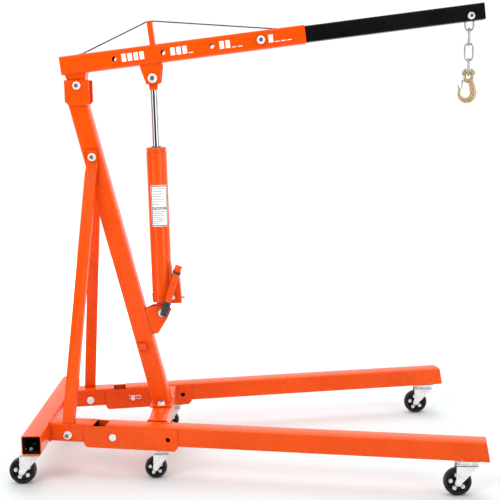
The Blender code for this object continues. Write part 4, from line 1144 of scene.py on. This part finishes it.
def build_fork(key, swivel, axle, scale, base):
    body = key + "_swivel"
    place = Matrix.Translation(swivel)
    trail = axle.x - swivel.x
    drop = axle.z - swivel.z
    half = wheel_width(scale) / 2 + 0.0015
    sheet = 0.003
    crown_top = base - 0.0003
    front = 0.032 * scale
    back = trail - 0.006
    bm = bmesh.new()
    rings = []
    for y, lift in ((-half - sheet, -0.0030), (-half - sheet * 0.6, -0.0012), (-half + 0.001, 0.0),
                    (half - 0.001, 0.0), (half + sheet * 0.6, -0.0012), (half + sheet, -0.0030)):
        z = crown_top + lift
        rings.append([Vector((back + 0.0008, y, z - 0.0035)), Vector((front - 0.0008, y, z - 0.0035)),
                      Vector((front, y, z - 0.0010)), Vector((front - 0.0010, y, z)),
                      Vector((back + 0.0010, y, z)), Vector((back, y, z - 0.0010))])
    close_skin(bm, rings)
    emit("caster_crown_" + key, bm, "zinc", body, place, ("caster_fork_" + key,), angle=50)
    cheek = [(back, crown_top - 0.0030), (front, crown_top - 0.0030), (front - 0.0015, crown_top - 0.0075)]
    nose = arc(trail, drop, 0.0115 * scale, -25, -175, 14)
    cheek += [(trail + 0.0135 * scale, drop + 0.0010)] + nose + [(back - 0.0010, drop + 0.012)]
    for name, low, high in (("near", -half - sheet, -half), ("far", half, half + sheet)):
        bm = bmesh.new()
        plate(bm, cheek, low, high)
        emit(f"caster_cheek_{name}_{key}", bm, "zinc", body, place, bevel=0.0008)
    profile = [(0.0035, crown_top - 0.0008), (0.0190 * scale, crown_top - 0.0008),
               (0.0205 * scale, crown_top - 0.0002), (0.0205 * scale, crown_top + 0.0002),
               (0.0035, crown_top + 0.0002)]
    spun("caster_lower_race_" + key, "zinc", body, place, profile, 48)
    bolt = bmesh.new()
    reach = half + sheet
    size = 0.0050 * scale
    turned([(0, -reach - 0.0068), (size * 0.8, -reach - 0.0068), (size, -reach - 0.0058), (size, reach),
            (0, reach)], 32, bolt)
    hex_block(bolt, size * 1.6, -reach - 0.0046, -reach)
    hex_block(bolt, size * 1.6, reach, reach + 0.0042)
    washer(bolt, size * 1.95, reach - 0.0002, reach + 0.0008, size * 0.9)
    emit("caster_axle_" + key, bolt, "zinc", body, facing(axle, (0, 1, 0)), angle=30)


def build_wheel(key, axle, radius, scale):
    body = key + "_wheel"
    half = wheel_width(scale) / 2
    bore = 0.0060
    hub = 0.0120 * scale
    rim = radius * 0.745
    disc = half * 0.42
    profile = [(bore, -half), (hub, -half), (hub + 0.0012, -half + 0.0015), (hub + 0.0020, -disc),
               (rim - 0.0015, -disc), (rim, -half + 0.0020), (rim + 0.0020, -half + 0.0004),
               (radius - 0.0060, -half), (radius - 0.0030, -half + 0.0012), (radius - 0.0010, -half * 0.60),
               (radius, -half * 0.25), (radius, half * 0.25), (radius - 0.0010, half * 0.60),
               (radius - 0.0030, half - 0.0012), (radius - 0.0060, half), (rim + 0.0020, half - 0.0004),
               (rim, half - 0.0020), (rim - 0.0015, disc), (hub + 0.0020, disc),
               (hub + 0.0012, half - 0.0015), (hub, half), (bore, half)]
    tyre = bmesh.new()
    turned(profile, 96, tyre)
    place = facing(axle, (0, -1, 0))
    emit("caster_tyre_" + key, tyre, "rubber", body, place, ("caster_wheel_" + key,), angle=30)
    screws = bmesh.new()
    reach = (hub + rim) / 2 + 0.0002
    for k in range(5):
        angle = math.radians(28 + 72 * k)
        for face in (1, -1):
            spot = bmesh.new()
            size = 0.0060 * scale
            washer(spot, size * 1.22, disc - 0.0002, disc + 0.0012, size * 0.4)
            hex_block(spot, size, disc + 0.0010, disc + 0.0048)
            turned([(0, disc + 0.0044), (size * 0.55, disc + 0.0044), (size * 0.55, disc + 0.0064),
                    (size * 0.4, disc + 0.0070), (0, disc + 0.0070)], 20, spot)
            turn = Matrix.Diagonal((1, face, face, 1))
            shift = Matrix.Translation((reach * math.cos(angle), reach * math.sin(angle), 0))
            bmesh.ops.transform(spot, matrix=shift @ turn, verts=spot.verts)
            merge(screws, spot)
    emit("caster_wheel_screws_" + key, screws, "zinc", body, place, angle=30)


# Floor, lights and backdrop

FLOOR_RADIUS = 4.6
FLOOR_GLOW_START = 1.1
FLOOR_GLOW_END = 2.4
FLOOR_GLOW_FAR = 0.8
DIM_FRONT = 0.06
BRIGHT_BACK = 1.00
BRIGHT_TOP = 0.70
SOFT_BOXES = ((-0.84, -0.76, -0.58, -0.50, 1.5), (0.52, 0.60, 0.84, 0.90, 1.9))

LAMPS = (("key", (-2.1, -3.2, 3.6), (0, 0, 0.7), (1.8, 1.8), 66),
         ("fill", (3.0, -3.4, 1.9), (0.2, 0, 0.8), (2.0, 2.0), 26),
         ("top", (0.2, 0.6, 4.6), (0, 0, 0), (3.6, 3.0), 88),
         ("back", (-1.5, 3.8, 2.8), (0, 0, 0.6), (2.6, 2.0), 45))


def build_floor():
    """Pale floor that ends out of sight, because both it and the backdrop are white."""
    floor = bpy.data.meshes.new("floor")
    bm = bmesh.new()
    bmesh.ops.create_circle(bm, cap_ends=True, radius=FLOOR_RADIUS, segments=96)
    bm.to_mesh(floor)
    bm.free()
    ground = bpy.data.objects.new("floor", floor)
    ground.location.z = -0.0002
    scene.collection.objects.link(ground)
    pale = Look("pale_floor", None, (0.90, 0.92, 0.93))
    pale.paint(pale.mix(pale.noise(2.0, 2.0), (0.73, 0.775, 0.785), (0.75, 0.795, 0.805)))
    pale.shader.inputs["Roughness"].default_value = 0.95
    pale.shader.inputs["Specular IOR Level"].default_value = 0.0
    pale.shader.inputs["Emission Color"].default_value = (1, 1, 1, 1)
    reach = pale.add("ShaderNodeVectorMath", {0: pale.place}, operation="LENGTH").outputs["Value"]
    glow = pale.between(reach, 0.0, FLOOR_GLOW_FAR, (FLOOR_GLOW_START, FLOOR_GLOW_END))
    pale.tree.links.new(glow, pale.shader.inputs["Emission Strength"])
    floor.materials.append(pale.material)
    ground.visible_glossy = False


def build_world():
    """White to the camera. As light, it is bright above and behind the hoist, and dim in front.

    Two soft boxes in front give the round and plated pieces their bright bands.
    """
    world = bpy.data.worlds.new("studio")
    scene.world = world
    world.use_nodes = True
    tree = world.node_tree
    background = tree.nodes["Background"]

    def node(kind, wires, **values):
        made = tree.nodes.new(kind)
        for key, value in values.items():
            setattr(made, key, value)
        for socket, value in wires.items():
            if isinstance(value, bpy.types.NodeSocket):
                tree.links.new(value, made.inputs[socket])
            else:
                made.inputs[socket].default_value = value
        return made.outputs[0]

    def ramp(value, start, end, low, high):
        return node("ShaderNodeMapRange", {"Value": value, "From Min": start, "From Max": end,
                                           "To Min": low, "To Max": high}, interpolation_type="SMOOTHSTEP")

    direction = tree.nodes.new("ShaderNodeTexCoord").outputs["Generated"]
    parts = tree.nodes.new("ShaderNodeSeparateXYZ")
    tree.links.new(direction, parts.inputs[0])
    depth = ramp(parts.outputs["Y"], -0.35, 0.30, DIM_FRONT, BRIGHT_BACK)
    height = ramp(parts.outputs["Z"], 0.35, 0.80, 0.0, BRIGHT_TOP)
    sky = node("ShaderNodeMath", {0: depth, 1: height}, operation="MAXIMUM")
    front = ramp(parts.outputs["Y"], -0.30, -0.10, 1.0, 0.0)
    light = sky
    for start, full, fade, end, level in SOFT_BOXES:
        rise = ramp(parts.outputs["X"], start, full, 0.0, level)
        fall = ramp(parts.outputs["X"], fade, end, 1.0, 0.0)
        box = node("ShaderNodeMath", {0: rise, 1: fall}, operation="MULTIPLY")
        box = node("ShaderNodeMath", {0: box, 1: front}, operation="MULTIPLY")
        light = node("ShaderNodeMath", {0: light, 1: box}, operation="MAXIMUM")
    seen = tree.nodes.new("ShaderNodeLightPath").outputs["Is Camera Ray"]
    strength = tree.nodes.new("ShaderNodeMix")
    strength.data_type = "FLOAT"
    tree.links.new(seen, strength.inputs[0])
    tree.links.new(light, strength.inputs[2])
    strength.inputs[3].default_value = 1.05
    tree.links.new(strength.outputs[0], background.inputs["Strength"])
    background.inputs["Color"].default_value = (1, 1, 1, 1)


def build_stage():
    build_floor()
    build_world()
    for name, place, aim, size, power in LAMPS:
        data = bpy.data.lights.new(name, "AREA")
        data.shape = "RECTANGLE"
        data.size, data.size_y = size
        data.energy = power
        lamp = bpy.data.objects.new(name, data)
        lamp.matrix_world = facing(place, Vector(place) - Vector(aim))
        lamp.visible_glossy = False
        scene.collection.objects.link(lamp)
    scene.view_settings.view_transform = "Standard"
    scene.view_settings.look = "None"


make_camera()
build_structure()
build_welds()
build_bolts()
build_leg_pins()
build_ram()
build_pump()
build_boom_marks()
build_truss()
build_chain()
build_hook()
for end in ENDS:
    for label, _ in SIDES:
        build_caster(end, label)
build_stage()
